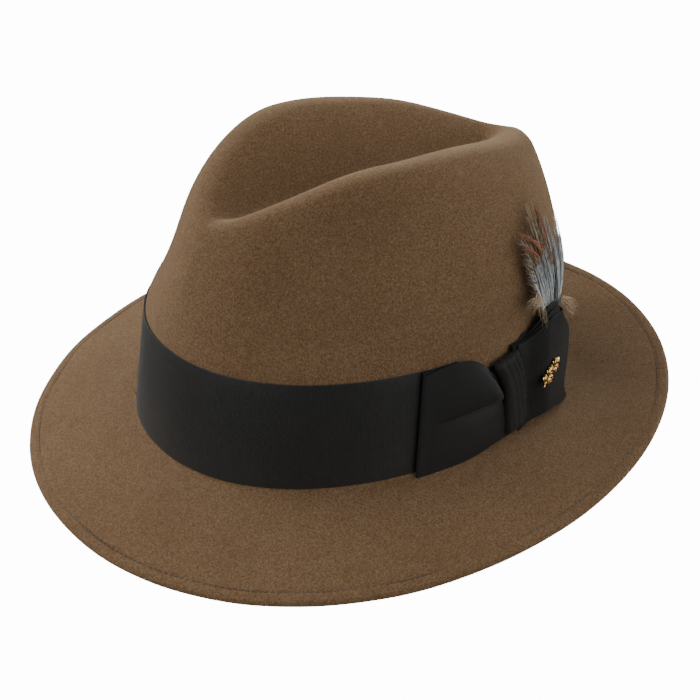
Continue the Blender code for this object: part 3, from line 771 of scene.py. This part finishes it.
def make_hatband(look):
    turns = np.linspace(BAND_START, BAND_START + 2 * PI - BAND_JOIN_GAP, band_columns(BAND_LENGTH))
    levels = edge_levels(8)
    gathered = bow_pinch(turns % (2 * PI))
    low, high = 0.02 + 0.08 * gathered, 1.0 - 0.18 * gathered
    grid = band_point(turns[None, :], mix(low[None, :], high[None, :], levels[:, None]),
                      GAP + RIBBON / 2 + 0.00012 * np.sin(9 * turns + 1.0)[None, :] ** 2)
    band = cloth_mesh("grosgrain_band", grid, RIBBON, look, rib_relief(len(turns), edge_mask(levels)))
    settle(band, "hat", "grosgrain", "hatband")


def make_tacks(look):
    """Little bar tacks that hold the band to the crown: a few turns of thread."""
    share = np.linspace(-1.0, 1.0, 9)
    for index, (degrees, level) in enumerate(TACKS):
        middle = math.radians(degrees)
        turn = middle + share * 0.0009 / BAND_RADIUS
        lift = 0.00105 + 0.00022 * (1 - share ** 2)
        paths = np.stack([band_point(turn, level + row * 0.0075 + 0.002 * share, lift + 0.00003 * row)
                          for row in (-1.0, 0.0, 1.0)])
        thread = tube_parts(paths, 0.00019 * (1 - 0.4 * share ** 4)[None, :],
                            oval_normal(np.array([middle]))[0])
        tack = add_mesh(f"bar_tack_{index + 1}", *thread, look)
        settle(tack, "hat", "band_thread", f"band_tack_{index + 1}")


def bow_piece(name, grid, mask, look, nodes, ribs_along=False):
    relief = rib_relief(grid.shape[0], mask).T if ribs_along else rib_relief(grid.shape[1], mask)
    piece = cloth_mesh(name, grid, RIBBON, look, relief)
    settle(piece, "hat", "grosgrain", *nodes)


def make_bow_backing(look):
    turns = np.linspace(math.radians(75.8), math.radians(117.0), band_columns(0.066))
    levels = edge_levels(6)
    low, high = 0.05 + 0.06 * bow_pinch(turns), 0.96 - 0.18 * bow_pinch(turns)
    grid = band_point(turns[None, :], mix(low[None, :], high[None, :], levels[:, None]),
                      2 * GAP + 1.5 * RIBBON + 0.0001)
    bow_piece("bow_backing_layer", grid, edge_mask(levels), look, ["bow_backing"])


def wing_left(share):
    """Turn of the front loop's fold, which leans a little."""
    return WING_START + math.radians(2.1) * share


def front_wing_layer(share, levels):
    """The showing layer of the front loop: pleated at mid height, its top corner rolled down."""
    s, v = share[None, :], levels[:, None]
    left = wing_left(v)
    turn = left + (math.radians(98.4) - left) * s
    top = np.maximum(front_top(turn), CREASE + 0.012) - 0.035 * smooth((0.30 - s) / 0.30)
    low = -0.006 + 0.055 * ramp(np.degrees(turn), 84.5, 12.5)
    upper, lower = np.clip((v - 0.5) / 0.5, 0.0, 1.0), np.clip(v / 0.5, 0.0, 1.0)
    level = np.where(v < 0.5, mix(low, CREASE, lower), mix(CREASE, top, upper))
    gather = s ** 1.3 * (1 - ramp(s, 0.76, 0.18))
    puff = (0.0022 * np.sin(PI * upper ** 0.7) * (v >= 0.5)
            + 0.0006 * np.sin(PI * lower ** 0.8) * (v < 0.5)) * gather
    deep = ramp(s, 0.12, 0.55)
    fold = 0.0006 * deep * ramp(v, 0.36, 0.12) * (v < 0.5)
    step = 0.0012 * deep * ramp(v, 0.484, 0.034) * (1 - ramp(s, 0.86, 0.10))
    roll = 0.0016 * ramp(upper, 0.80, 0.2) * ramp(s, 0.50, 0.35)
    offset = 0.0030 + puff - fold + step - roll + 0.0002 * smooth((0.10 - s) / 0.10)
    return band_point(turn, level, offset)


def make_front_wing(look):
    levels = np.sort(np.concatenate([edge_levels(26), np.linspace(0.455, 0.535, 11)[1::2]]))
    columns = band_columns(WING_LAYER_LENGTH)
    outer = front_wing_layer(np.linspace(1.0, 0.0, columns), levels)
    left = wing_left(levels)
    high = 0.0032
    middle, radius = (high + INNER_LAYER) / 2, (high - INNER_LAYER) / 2
    bend = np.stack([band_point(left - np.sin(a) * radius / BAND_RADIUS, mix(-0.006, 1.005, levels),
                                middle + radius * np.cos(a))
                     for a in np.linspace(0.0, PI, 17)[1:-1]], 1)
    share = np.linspace(0.0, 1.0, columns)[None, :]
    turn = left[:, None] + (math.radians(98.2) - left[:, None]) * share
    gathered = bow_pinch(turn)
    inner = band_point(turn, mix(0.06 * gathered, 1.0 - 0.24 * gathered, levels[:, None]), INNER_LAYER)
    grid = np.concatenate([outer, bend, inner], 1)
    bow_piece("bow_front_loop", grid, edge_mask(levels), look, ["bow_front_wing"])


def make_knot(look):
    """The strap round the middle: it turns in over both edges and gathers into small folds."""
    wraps = np.linspace(0.0, 1.0, band_columns(0.052))
    shares = np.concatenate([[0.0, 0.012, 0.03], np.linspace(0.06, 0.94, 50), [0.97, 0.988, 1.0]])
    s, w = shares[None, :], wraps[:, None]
    radius, end = STRAP_LIFT / BAND_HEIGHT, 0.085
    height = np.clip((w - end) / (1 - 2 * end), 0.0, 1.0)
    low, high = 0.065 + 0.07 * s, 0.86 + 0.05 * s
    below, above = (PI / 2 * np.clip(1 - way / end, 0.0, 1.0) for way in (w, 1 - w))
    level = mix(low + radius, high - radius, height) - radius * np.sin(below) + radius * np.sin(above)
    left, right = knot_sides(height)
    turn = mix(left, right, s)
    belly = 0.0022 * (1 - np.abs(2 * s - 1) ** 6) ** 0.6
    folds = sum(depth * bell(s - lean * (0.5 - height) - 0.05 * np.sin(PI * height), place, width)
                for place, lean, depth, width in STRAP_FOLDS)
    offset = 0.0032 + belly - folds + 0.00006 * np.sin(26 * s + 3.0 * height)
    offset = mix(STRAP_LIFT, offset, np.cos(below) * np.cos(above))
    mask = smooth(shares / 0.04) * smooth((1 - shares) / 0.04)
    bow_piece("bow_strap", band_point(turn, level, offset), mask, look, ["bow_knot"],
              ribs_along=True)


def rear_level(turn, share):
    return mix(wing_low(turn), wing_top(turn), share)


def make_rear_wing(look):
    levels = edge_levels(28)
    v = levels[:, None]
    end = rear_end(LOOP_TALL * levels)[:, None]
    share = np.linspace(0.0, 1.0, band_columns(WING_LAYER_LENGTH))[None, :]
    turn = LOOP_START + (end - LOOP_START) * share
    pleats = 0.0004 * np.exp(-share / 0.25) * np.cos(15.0 * (v - 0.45)) * smooth(share / 0.06)
    sag = 0.0006 * np.sin(PI * v) * ramp(share, 0.5, 0.5)
    offset = loop_offset(turn) + pleats - sag
    outer = band_point(turn, rear_level(turn, v), offset)
    low, tip = 0.0021, offset[:, -1]
    middle, radius = (tip + low) / 2, (tip - low) / 2
    bend = np.stack([band_point(end[:, 0] + np.sin(a) * radius * 0.9 / 0.094,
                                rear_level(end[:, 0], levels), middle + radius * np.cos(a))
                     for a in np.linspace(0.0, PI, RIB_STEPS * 11 + 1)[1:-1]], 1)
    back = LOOP_START + (end - LOOP_START) * share[:, ::-1]
    inner = band_point(back, rear_level(back, v) - 0.006 * v, low)
    grid = np.concatenate([outer, bend, inner], 1)
    bow_piece("bow_rear_loop", grid, edge_mask(levels), look, ["bow_rear_wing"])


def make_tail(look):
    """A short folded end of the ribbon, seen as two thin layers above the rear loop."""
    turns = np.linspace(math.radians(100.2), math.radians(117.8), band_columns(0.031))
    levels = edge_levels(34)
    t, v = turns[None, :], levels[:, None]
    past = ramp(np.degrees(t), 105.0, 10.0)
    up = np.abs(2.0 * v - 1.0)
    high = wing_top(t) + np.where(v < 0.5, 0.004 + 0.044 * past, 0.008 + 0.088 * past)
    fall = 0.0010 + 0.0012 * ramp(v, 0.42, 0.16)
    grid = band_point(t, mix(0.62, high, up), loop_offset(t) - fall + 0.0001 * np.sin(3.0 * PI * up))
    bow_piece("bow_tail_layer", grid, edge_mask(levels), look, [])


# --- pin ----------
def leaf_parts(base, angle, length, width, high, tilt=0.0):
    """One pointed leaf in the badge's plane, domed, with a groove along its middle."""
    share = np.linspace(0.0, 1.0, 13)
    across = np.linspace(-1.0, 1.0, 9)
    half = width * np.sin(PI * share ** 0.8) ** 0.75 + 0.00004
    x = across[None, :] * half[:, None]
    y = np.broadcast_to((share * length)[:, None], x.shape)
    dome = (1 - across ** 2)[None, :] ** 0.6 - 0.45 * np.exp(-(across / 0.16) ** 2)[None, :]
    z = high * (0.35 + 0.65 * dome * np.sin(PI * share)[:, None]) + tilt * y
    c, s = math.cos(angle), math.sin(angle)
    top = np.stack([base[0] + x * c - y * s, base[1] + x * s + y * c, z], -1)
    under = top.copy()
    under[..., 2] = -0.00045 + tilt * y
    return np.concatenate([top.reshape(-1, 3), under.reshape(-1, 3)]), shell_faces(*x.shape)


def berry_parts(centre, radius):
    around = np.linspace(0.0, 2 * PI, 12, endpoint=False)
    over = np.linspace(0.12, PI - 0.12, 7)
    points = np.stack([np.stack([centre[0] + radius * np.sin(a) * np.cos(around),
                                 centre[1] + radius * np.sin(a) * np.sin(around),
                                 centre[2] + radius * np.cos(a) * np.ones_like(around)], -1)
                       for a in over])
    faces = grid_faces(7, 12, wrap=True)
    return points, faces + [list(range(12)), list(range(72, 84))]


def make_pin(gold):
    """A plain sprig of leaves and berries with no mark on it."""
    parts = []
    stem_y = np.linspace(-0.0078, 0.0056, 15)
    stem = np.stack([0.00035 * np.sin(420 * stem_y), stem_y, np.full_like(stem_y, 0.0001)], -1)
    parts.append(tube_parts(stem[None], np.linspace(0.00060, 0.00034, 15)[None, :], (0.0, 0.0, 1.0), 8))
    for index, y in enumerate((-0.0058, -0.0030, -0.0002, 0.0026)):
        side = 1 if index % 2 else -1
        size = 0.0042 - 0.0003 * index
        for hand in (side, -side):
            shift = 0.0 if hand == side else 0.0011
            parts.append(leaf_parts((0.0001 * hand, y + shift), -hand * math.radians(50 - 3 * index),
                                    size, LEAF_HALF_WIDTH, 0.00095, 0.14 * hand))
        parts.append(berry_parts((0.0013 * side, y - 0.0008, 0.0003), 0.00062))
    parts.append(leaf_parts((0.0, 0.0040), 0.0, 0.0040, LEAF_HALF_WIDTH, 0.00090))
    badge = add_mesh("gold_sprig", *join_parts(parts), gold, sharp=60)
    outward = oval_normal(np.array(PIN_TURN))
    centre = band_point(PIN_TURN, PIN_LEVEL, loop_offset(PIN_TURN) + RIBBON / 2 + 2 * GAP + PIN_LIFT)
    badge.data.transform(facing(centre, outward, PIN_LEAN))
    settle(badge, "pin", "gold", "pin_badge")


# --- feathers ----------
def barbs(name, look, node, slot, strands, count=13):
    """Many fine barbs: each strand is (root, control, tip, thickness, shade), where a point is
    (turn in degrees, row of the crown, stand-off in millimetres)."""
    share = np.linspace(0.0, 1.0, count)
    sides, flat = 5, 0.4
    root, control, tip = (np.array([strand[end] for strand in strands], float)[:, None]
                          for end in range(3))
    turn, row, lift = np.moveaxis(curve(root, control, tip, share[None, :, None]), -1, 0)
    turn, lift = np.radians(turn), lift * 0.001
    paths = crown_offset(turn, row, lift)
    width = np.array([strand[3] for strand in strands]) * 0.001
    taper = np.maximum(0.6 + 0.4 * np.sin(PI * np.minimum(share * 1.4, 1.0)) - 0.35 * share ** 3, 0.2)
    up = unit(crown_offset(turn, row, lift + 0.001) - paths)
    points, faces = tube_parts(paths, width[:, None] * taper[None, :], up, sides, flat)
    shade = np.repeat([strand[4] for strand in strands], count * sides)
    piece = add_mesh(name, points, faces, look, shade=shade)
    settle(piece, "feathers", slot, node)


def make_feathers(slate, rust, tan, down):
    chance = random.Random(4127)

    def near(value, by):
        return value + chance.uniform(-by, by)

    def shade():
        return 0.35 + 0.65 * chance.random() if chance.random() > 0.27 else 0.10 * chance.random()

    strands = []
    for _ in range(84):
        side, reach = chance.random(), chance.random()
        root = (near(mix(112.6, 118.4, side), 0.4), near(1.045, 0.015), near(4.0, 0.4))
        control = (near(mix(107.8, 118.6, side), 0.6), near(1.14, 0.02), near(mix(4.4, 6.4, side), 0.5))
        tip = (near(mix(107.8, 117.6, side), 0.9), mix(1.17, 1.275, reach ** 0.7),
               near(mix(3.8, 5.6, side), 0.7))
        strands.append((root, control, tip, near(0.36, 0.08), shade()))
    for _ in range(60):
        side = chance.random()
        top = mix(1.27, 1.375, side ** 1.5) - 0.10 * chance.random() ** 2
        strands.append(((near(mix(117.2, 119.0, side), 0.3), 1.06, near(6.0, 0.3)),
                        (near(mix(118.2, 125.4, side), 0.5), near(1.16, 0.02), near(6.8, 0.4)),
                        (near(mix(118.6, 125.8, side), 0.3), top, near(6.4, 0.4)),
                        near(0.34, 0.07), shade()))
    for _ in range(20):
        side = chance.random()
        strands.append(((near(117.6, 0.6), 1.10, near(5.4, 0.3)),
                        (near(mix(117.4, 120.4, side), 0.4), near(1.22, 0.02), near(5.6, 0.4)),
                        (near(mix(118.0, 122.4, side), 0.4), near(1.345, 0.03), near(5.2, 0.4)),
                        near(0.24, 0.05), shade()))
    barbs("slate_hackle", slate, "feather_slate", "slate_hackle", strands)

    strands = []
    for base, end, spread_by, count, size in (((113.8, 1.252), (107.2, 1.340), 0.022, 13, 0.21),
                                              ((111.2, 1.236), (106.6, 1.296), 0.018, 9, 0.19),
                                              ((116.6, 1.255), (117.4, 1.440), 0.016, 8, 0.20),
                                              ((117.2, 1.190), (117.5, 1.255), 0.012, 4, 0.18)):
        for _ in range(count):
            root = (near(base[0], 0.8), near(base[1], spread_by), near(6.4, 0.4))
            tip = (near(end[0], 0.7), near(end[1], spread_by), near(6.0, 0.6))
            control = (mix(base[0], end[0], 0.45) + near(0.3, 0.5),
                       mix(base[1], end[1], 0.62) + near(0.0, 0.008), near(7.0, 0.4))
            strands.append((root, control, tip, near(size, 0.04), chance.random()))
    barbs("rust_hackle", rust, "feather_rust", "rust_hackle", strands)

    strands = []
    for _ in range(60):
        side, reach = chance.random(), chance.random()
        root = (mix(112.4, 118.4, side), near(1.06, 0.03), near(3.4, 0.4))
        control = (near(mix(107.6, 119.6, side), 0.8), near(1.19, 0.03), near(3.8, 0.6))
        tip = (near(mix(108.0, 120.0, side), 1.0), mix(1.22, 1.30, reach ** 0.6), near(3.6, 0.7))
        strands.append((root, control, tip, near(0.22, 0.06), shade()))
    for _ in range(62):
        side = chance.random()
        root = (near(mix(110.0, 116.6, side), 0.6), near(1.20, 0.05), near(4.4, 0.6))
        top = mix(1.330, 1.455, min(1.0, 1.3 * side)) - 0.08 * chance.random() ** 1.5
        tip = (near(mix(108.2, 118.6, side), 0.8), top, near(4.4, 0.8))
        control = (near(mix(108.8, 116.6, side), 0.7), mix(1.20, top, 0.5), near(5.4, 0.6))
        strands.append((root, control, tip, near(0.28, 0.07), shade()))
    for _ in range(22):
        side = chance.random()
        tip = (mix(115.0, 122.4, side), near(1.42 + 0.03 * side, 0.03), near(4.8, 0.5))
        strands.append(((near(116.0, 1.0), 1.26, 5.0), (near(116.4, 1.6), 1.37, near(5.4, 0.4)), tip,
                        near(0.15, 0.04), chance.random()))
    for _ in range(52):
        row = mix(1.07, 1.30, chance.random())
        root = (near(mix(110.4, 109.4, (row - 1.07) / 0.23), 0.6), row, near(4.6, 0.5))
        strands.append((root, (near(107.8, 0.5), row + 0.012, near(5.4, 0.5)),
                        (near(106.1, 0.9), row + near(0.035, 0.02), near(4.6, 0.9)),
                        near(0.15, 0.04), shade()))
    barbs("tan_hackle", tan, "feather_tan", "tan_hackle", strands)

    strands = []
    for _ in range(40):
        place, way = chance.random(), chance.random()
        root = (near(mix(108.0, 112.4, place), 0.5), near(mix(1.135, 1.068, place), 0.008),
                near(6.0, 0.6))
        tip = (near(mix(102.6, 110.6, way), 0.9), near(mix(1.115, 1.0, way), 0.015), near(7.2, 1.0))
        control = (near(mix(103.0, 106.6, way), 1.6), near(1.135, 0.03), near(9.6, 1.2))
        strands.append((root, control, tip, near(0.11, 0.025), chance.random()))
    for _ in range(24):
        root = (near(119.4, 1.4), near(1.055, 0.012), near(6.8, 0.5))
        way = chance.random()
        tip = (near(mix(130.0, 123.4, way), 1.0), near(mix(1.005, 0.90, way), 0.012), near(9.6, 0.9))
        control = (near(mix(124.8, 121.8, way), 1.2), near(mix(1.055, 1.01, way), 0.012),
                   near(9.0, 0.6))
        strands.append((root, control, tip, near(0.10, 0.02), chance.random()))
    barbs("down_fluff", down, "feather_fluff", "down", strands, count=15)


# --- inside the crown ----------
def ring_turns(count):
    return np.linspace(0.0, 2 * PI, count, endpoint=False)


def make_sweatband(leather, thread, tape):
    turns = ring_turns(360)
    levels = np.concatenate([[0.0, 0.01], np.linspace(0.03, 0.90, 22), [0.915, 0.93]])
    t, v = turns[None, :], levels[:, None]
    relax = 0.0004 * np.sin(5 * t + 2.0) * np.sin(3 * t) * ramp(v, 0.3, 0.6)
    line = 0.00020 * bell(v, 0.865, 0.008) + 0.00020 * bell(v, SEWN_LEVEL, 0.010)
    grid = band_point(t, v, SWEATBAND_OFFSET - SWEATBAND / 2 - np.abs(relax))[:, ::-1]
    relief = (-line - 0.0002 * (v < 0.005) - 0.0002 * (v > 0.925)) * np.ones_like(t)
    band = cloth_mesh("leather_sweatband", grid, SWEATBAND, leather, relief, wrap=True)
    settle(band, "hat", "sweatband_leather", "sweatband")

    inside = SWEATBAND_OFFSET - SWEATBAND - 0.0004
    middles = even_ring(lambda u: band_point(u, SEWN_LEVEL, inside), 190)[0]
    share = np.linspace(-1.0, 1.0, 7)[None, :]
    parts = []
    for lean, shift in ((1.0, 0.0), (-1.0, 0.0029 / (2 * BAND_RADIUS))):
        turn = middles[:, None] + share * 0.0012 / BAND_RADIUS + shift
        depth = inside - 0.00005 + 0.00035 * share ** 4
        paths = band_point(turn, SEWN_LEVEL + lean * 0.019 * share, depth)
        parts.append(tube_parts(paths, 0.00020, oval_normal(turn), 5))
    settle(add_mesh("sweatband_stitches", *join_parts(parts), thread), "hat", "edge_thread")

    inside = SWEATBAND_OFFSET - SWEATBAND - GAP - 0.00055
    turn = np.linspace(PI + 0.0455, PI - 0.0455, 17)
    swell = 0.00035 * (1 - np.linspace(-1, 1, 17)[None, :] ** 4)
    grid = band_point(turn[None, :], np.linspace(0.08, 0.90, 30)[:, None], inside - swell)
    seam = cloth_mesh("sweatband_back_seam", grid, 0.0005, leather)
    settle(seam, "hat", "sweatband_leather", "sweatband_seam_tape")

    drops = np.array([0.0042, 0.0034, 0.0025, 0.0016, 0.0008])[:, None]
    grid = band_point(t, 0.0 * drops, -0.00265 + 0.00008 * np.sin(80 * t))
    grid[..., 2] -= drops
    cover = cloth_mesh("reed_cover_tape", grid, 0.0003, tape, wrap=True)
    settle(cover, "hat", "reed_tape", "reed_tape")


def make_inside_bow(ribbon):
    """The tiny flat bow at the back of the sweatband: two loops, two tails and a knot."""
    parts = []
    share, slope = np.linspace(0.0, 1.0, 25)[:, None], np.linspace(0.0, 1.0, 13)[:, None]
    across = np.linspace(-1.0, 1.0, 7)[None, :]
    for hand in (-1.0, 1.0):
        swing = np.sin(PI * share)
        loop = vec(hand * 0.0082 * swing ** 0.8, (0.0011 + 0.0016 * swing) * across,
                   0.00045 * np.cos(PI * share) - 0.0002 * across ** 2)
        tail = vec(hand * (0.0008 + 0.0052 * slope) + 0.0004 * across,
                   -0.0004 - 0.0030 * slope + 0.0009 * across, -0.00045 + 0.0002 * np.sin(5 * slope))
        parts += [shell_parts(loop, 0.00016), shell_parts(tail, 0.00016)]
    ring = ring_turns(16)[None, :]
    place, bulge = np.array([(-0.0012, 0.7), (-0.0008, 0.98), (0.0, 1.08), (0.0008, 0.98),
                             (0.0012, 0.7)]).T[:, :, None]
    knot = vec(place, 0.0014 * bulge * np.cos(ring), 0.0007 * bulge * np.sin(ring))
    parts.append((knot, grid_faces(5, 16, wrap=True) + [list(range(16)), list(range(64, 80))]))
    bow = add_mesh("sweatband_ribbon_bow", *join_parts(parts), ribbon)
    low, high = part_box("sweatband_bow")
    bow.data.transform(facing((low + high) / 2, (0.0, -1.0, 0.0)))
    settle(bow, "hat", "grosgrain", "sweatband_bow")


def make_lining(satin, film):
    t, r = ring_turns(640)[None, :], np.linspace(0.72, LINING_TOP_ROW, 26)[:, None]
    gather = 0.5 + 0.5 * np.cos(70 * t + 2.2 * np.sin(6 * t) + 1.1 * np.sin(11 * t + r * 3))
    size = 0.0011 * ramp(r, 1.0, 0.15) * (1 - 0.75 * ramp(r, 1.30, 0.10)) + 0.00008
    grid = crown_offset(t + 0 * r, r + 0 * t, LINING_OFFSET - LINING / 2 - size * gather)[:, ::-1]
    side = cloth_mesh("lining_side_cloth", grid, LINING, satin, wrap=True)
    settle(side, "hat", "lining_satin", "lining_side")

    turns = ring_turns(320)
    rim = crown_offset(turns, np.full_like(turns, LINING_TOP_ROW), LINING_OFFSET - LINING - 2 * GAP)

    def cap(reach, lift):
        return vec(rim[None, :, 0] * reach, rim[None, :, 1] * reach,
                   TIP_HEIGHT + (rim[None, :, 2] - TIP_HEIGHT) * reach ** 2 + lift)[:, ::-1]

    reach = np.append(np.linspace(1.0, 0.05, 24), 0.004)[:, None]
    pucker = 0.0005 * np.cos(90 * turns)[None, :] * ramp(reach, 0.8, 0.2)
    tip = cloth_mesh("lining_tip_cloth", cap(reach, pucker), LINING, satin, wrap=True)
    close_middle(tip)
    settle(tip, "hat", "lining_satin", "lining_tip")
    reach = np.append(np.linspace(0.62, 0.04, 14), 0.004)[:, None]
    shield = cloth_mesh("clear_tip_shield", cap(reach, -LINING - 2 * GAP), 0.0003, film, wrap=True)
    close_middle(shield)
    settle(shield, "hat", "tip_film", "tip_shield")


def close_middle(piece):
    """Fills the pinholes left in the middle of a cap."""
    bm = bmesh.new()
    bm.from_mesh(piece.data)
    hub = [v for v in bm.verts if math.hypot(v.co.x, v.co.y) < 0.0006]
    middle = sum(v.co.z for v in hub) / len(hub)
    for ring in ([v for v in hub if v.co.z > middle], [v for v in hub if v.co.z <= middle]):
        bmesh.ops.pointmerge(bm, verts=ring, merge_co=sum((v.co for v in ring), Vector()) / len(ring))
    bm.to_mesh(piece.data)
    bm.free()


# --- stage ----------
AZIMUTH, ELEVATION, ROLL = math.radians(51.0), math.radians(30.5), math.radians(1.0)
SENSOR, FOCAL_SHARE = 36.0, 1233.1 / 700.0
CAMERA_ASIDE, CAMERA_UP, CAMERA_BACK = -0.00045, 0.0099, 0.590
LIGHT_TARGET = Vector((0.0, 0.0, 0.04))
FLOOR_SIDE, FLOOR_DROP = 3.0, -0.36
WHITE, WHITE_LEVEL, AMBIENT = (1.0, 1.0, 1.0, 1.0), 14.0, 0.05
LIGHTS = (  # name, to the camera's right, towards the camera, height, power, size
    ("left_key", -1.15, -0.25, 0.80, 11.5, 0.9), ("left_rim", -0.95, -0.85, 0.55, 9.4, 0.9),
    ("right_rim", 0.95, -0.85, 0.55, 12.2, 1.5), ("right_low", 1.25, 0.10, 0.45, 6.7, 1.5),
    ("left_front", -0.90, 0.90, 0.50, 6.6, 0.9), ("right_front", 0.90, 0.90, 0.50, 5.3, 0.9),
    ("high", 0.0, -0.80, 1.10, 2.0, 0.9), ("under_fill", 0.0, 0.0, -0.34, 1.4, 0.9))


def camera_axes():
    """The camera's back, right and up directions, before its roll."""
    back = Vector((math.sin(AZIMUTH) * math.cos(ELEVATION), -math.cos(AZIMUTH) * math.cos(ELEVATION),
                   math.sin(ELEVATION)))
    right = Vector((math.cos(AZIMUTH), math.sin(AZIMUTH), 0.0))
    return back, right, back.cross(right)


def make_camera():
    back, right, up = camera_axes()
    data = bpy.data.cameras.new("camera")
    data.sensor_width = SENSOR
    data.lens = SENSOR * FOCAL_SHARE
    data.clip_start, data.clip_end = 0.01, 20.0
    made = put("camera", data)
    rolled = Matrix((right * math.cos(ROLL) + up * math.sin(ROLL),
                     up * math.cos(ROLL) - right * math.sin(ROLL), back)).transposed().to_4x4()
    eye = right * CAMERA_ASIDE + up * CAMERA_UP + back * CAMERA_BACK
    made.matrix_world = Matrix.Translation(eye) @ rolled
    bpy.context.scene.camera = made


def area_light(name, place, size, power):
    """A square light at place that looks at the middle of the hat."""
    data = bpy.data.lights.new(name, "AREA")
    data.shape = "RECTANGLE"
    data.size, data.size_y = size, size
    data.energy = power
    made = put(name, data)
    made.location = place
    made.rotation_mode = "QUATERNION"
    made.rotation_quaternion = (LIGHT_TARGET - Vector(place)).to_track_quat("-Z", "Y")
    made.visible_camera = False


def make_stage():
    world = bpy.data.worlds.new("studio")
    bpy.context.scene.world = world
    paper = bpy.data.materials.new("pale_floor")
    for owner in (world, paper):
        owner.use_nodes = True
        owner.node_tree.nodes.clear()
    tree = world.node_tree
    seen = wire(tree, "ShaderNodeLightPath").outputs["Is Camera Ray"]
    strength = wire(tree, "ShaderNodeMapRange",
                    {"Value": seen, "To Min": AMBIENT, "To Max": WHITE_LEVEL})
    glow = wire(tree, "ShaderNodeBackground", {"Color": WHITE, "Strength": strength.outputs[0]})
    wire(tree, "ShaderNodeOutputWorld", {"Surface": glow.outputs[0]})

    tree = paper.node_tree
    glow = wire(tree, "ShaderNodeEmission", {"Color": WHITE, "Strength": WHITE_LEVEL})
    clear = wire(tree, "ShaderNodeBsdfTransparent")
    under = wire(tree, "ShaderNodeNewGeometry").outputs["Backfacing"]
    both = wire(tree, "ShaderNodeMixShader", {0: under, 1: glow.outputs[0], 2: clear.outputs[0]})
    wire(tree, "ShaderNodeOutputMaterial", {"Surface": both.outputs[0]})
    mesh = bpy.data.meshes.new("floor")
    corners = ((-1, -1), (1, -1), (1, 1), (-1, 1))
    mesh.from_pydata([(x * FLOOR_SIDE, y * FLOOR_SIDE, FLOOR_DROP) for x, y in corners],
                     [], [(0, 1, 2, 3)])
    mesh.materials.append(paper)
    floor = put("floor", mesh)
    for kind in ("visible_diffuse", "visible_glossy", "visible_transmission", "visible_shadow"):
        setattr(floor, kind, False)

    back, right, _ = camera_axes()
    flat_back = Vector((back.x, back.y, 0.0)).normalized()
    for name, aside, ahead, high, power, size in LIGHTS:
        area_light(name, right * aside + flat_back * ahead + Vector((0.0, 0.0, high)), size, power)


# --- everything together ----------
def paint_node(node, look):
    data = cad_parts[node].data
    for index in range(len(data.materials)):
        data.materials[index] = look


def main():
    ribbon = grosgrain_look("grosgrain_ribbon", 0.50, 0.62, 0.34, 1.0)
    # The front loop's copy of the ribbon has its base colour painted 0.9 times as dark: painted shade.
    front_ribbon_painted_shade = grosgrain_look("grosgrain_front_painted_shade", 0.60, 0.34, 0.13, 0.9)
    # The knot, rear loop and tail share a copy whose base colour is painted 1.35 times as light, with
    # less gloss and sheen: painted light.
    rear_ribbon_painted_light = grosgrain_look("grosgrain_rear_painted_light", 0.62, 0.20, 0.09, 1.35)
    brown_thread = thread_look("brown_thread", (0.070, 0.042, 0.023), (0.160, 0.102, 0.058))
    black_thread = thread_look("black_thread", (0.004, 0.004, 0.004), (0.016, 0.015, 0.014))
    gold = metal_look("gold_plate", (0.44, 0.19, 0.035), (1.0, 0.72, 0.32), 0.09)
    steel = metal_look("pin_metal", (0.48, 0.42, 0.30), (0.72, 0.66, 0.52), 0.26)

    make_felt(felt_look())
    make_edge_stitches(brown_thread)
    make_hatband(ribbon)
    make_tacks(black_thread)
    make_bow_backing(ribbon)
    make_front_wing(front_ribbon_painted_shade)
    make_knot(rear_ribbon_painted_light)
    make_rear_wing(rear_ribbon_painted_light)
    make_tail(rear_ribbon_painted_light)
    make_pin(gold)
    make_feathers(
        feather_look("slate_barbs", (0.020, 0.022, 0.022), (0.70, 0.75, 0.76), (0.24, 0.23, 0.20)),
        feather_look("rust_barbs", (0.17, 0.040, 0.009), (0.50, 0.150, 0.034), (0.12, 0.035, 0.010)),
        feather_look("tan_barbs", (0.018, 0.014, 0.009), (0.56, 0.42, 0.25), (0.12, 0.084, 0.046)),
        feather_look("down_barbs", (0.34, 0.23, 0.12), (0.72, 0.58, 0.40), (0.42, 0.26, 0.13)))
    make_sweatband(leather_look(), brown_thread, tape_look())
    make_inside_bow(ribbon)
    make_lining(satin_look(), film_look())
    paint_node("pin_post", steel)
    paint_node("pin_clutch", gold)
    paint_node("feather_quill", black_thread)
    paint_node("sweatband_reed", plastic_look())
    make_camera()
    make_stage()


main()
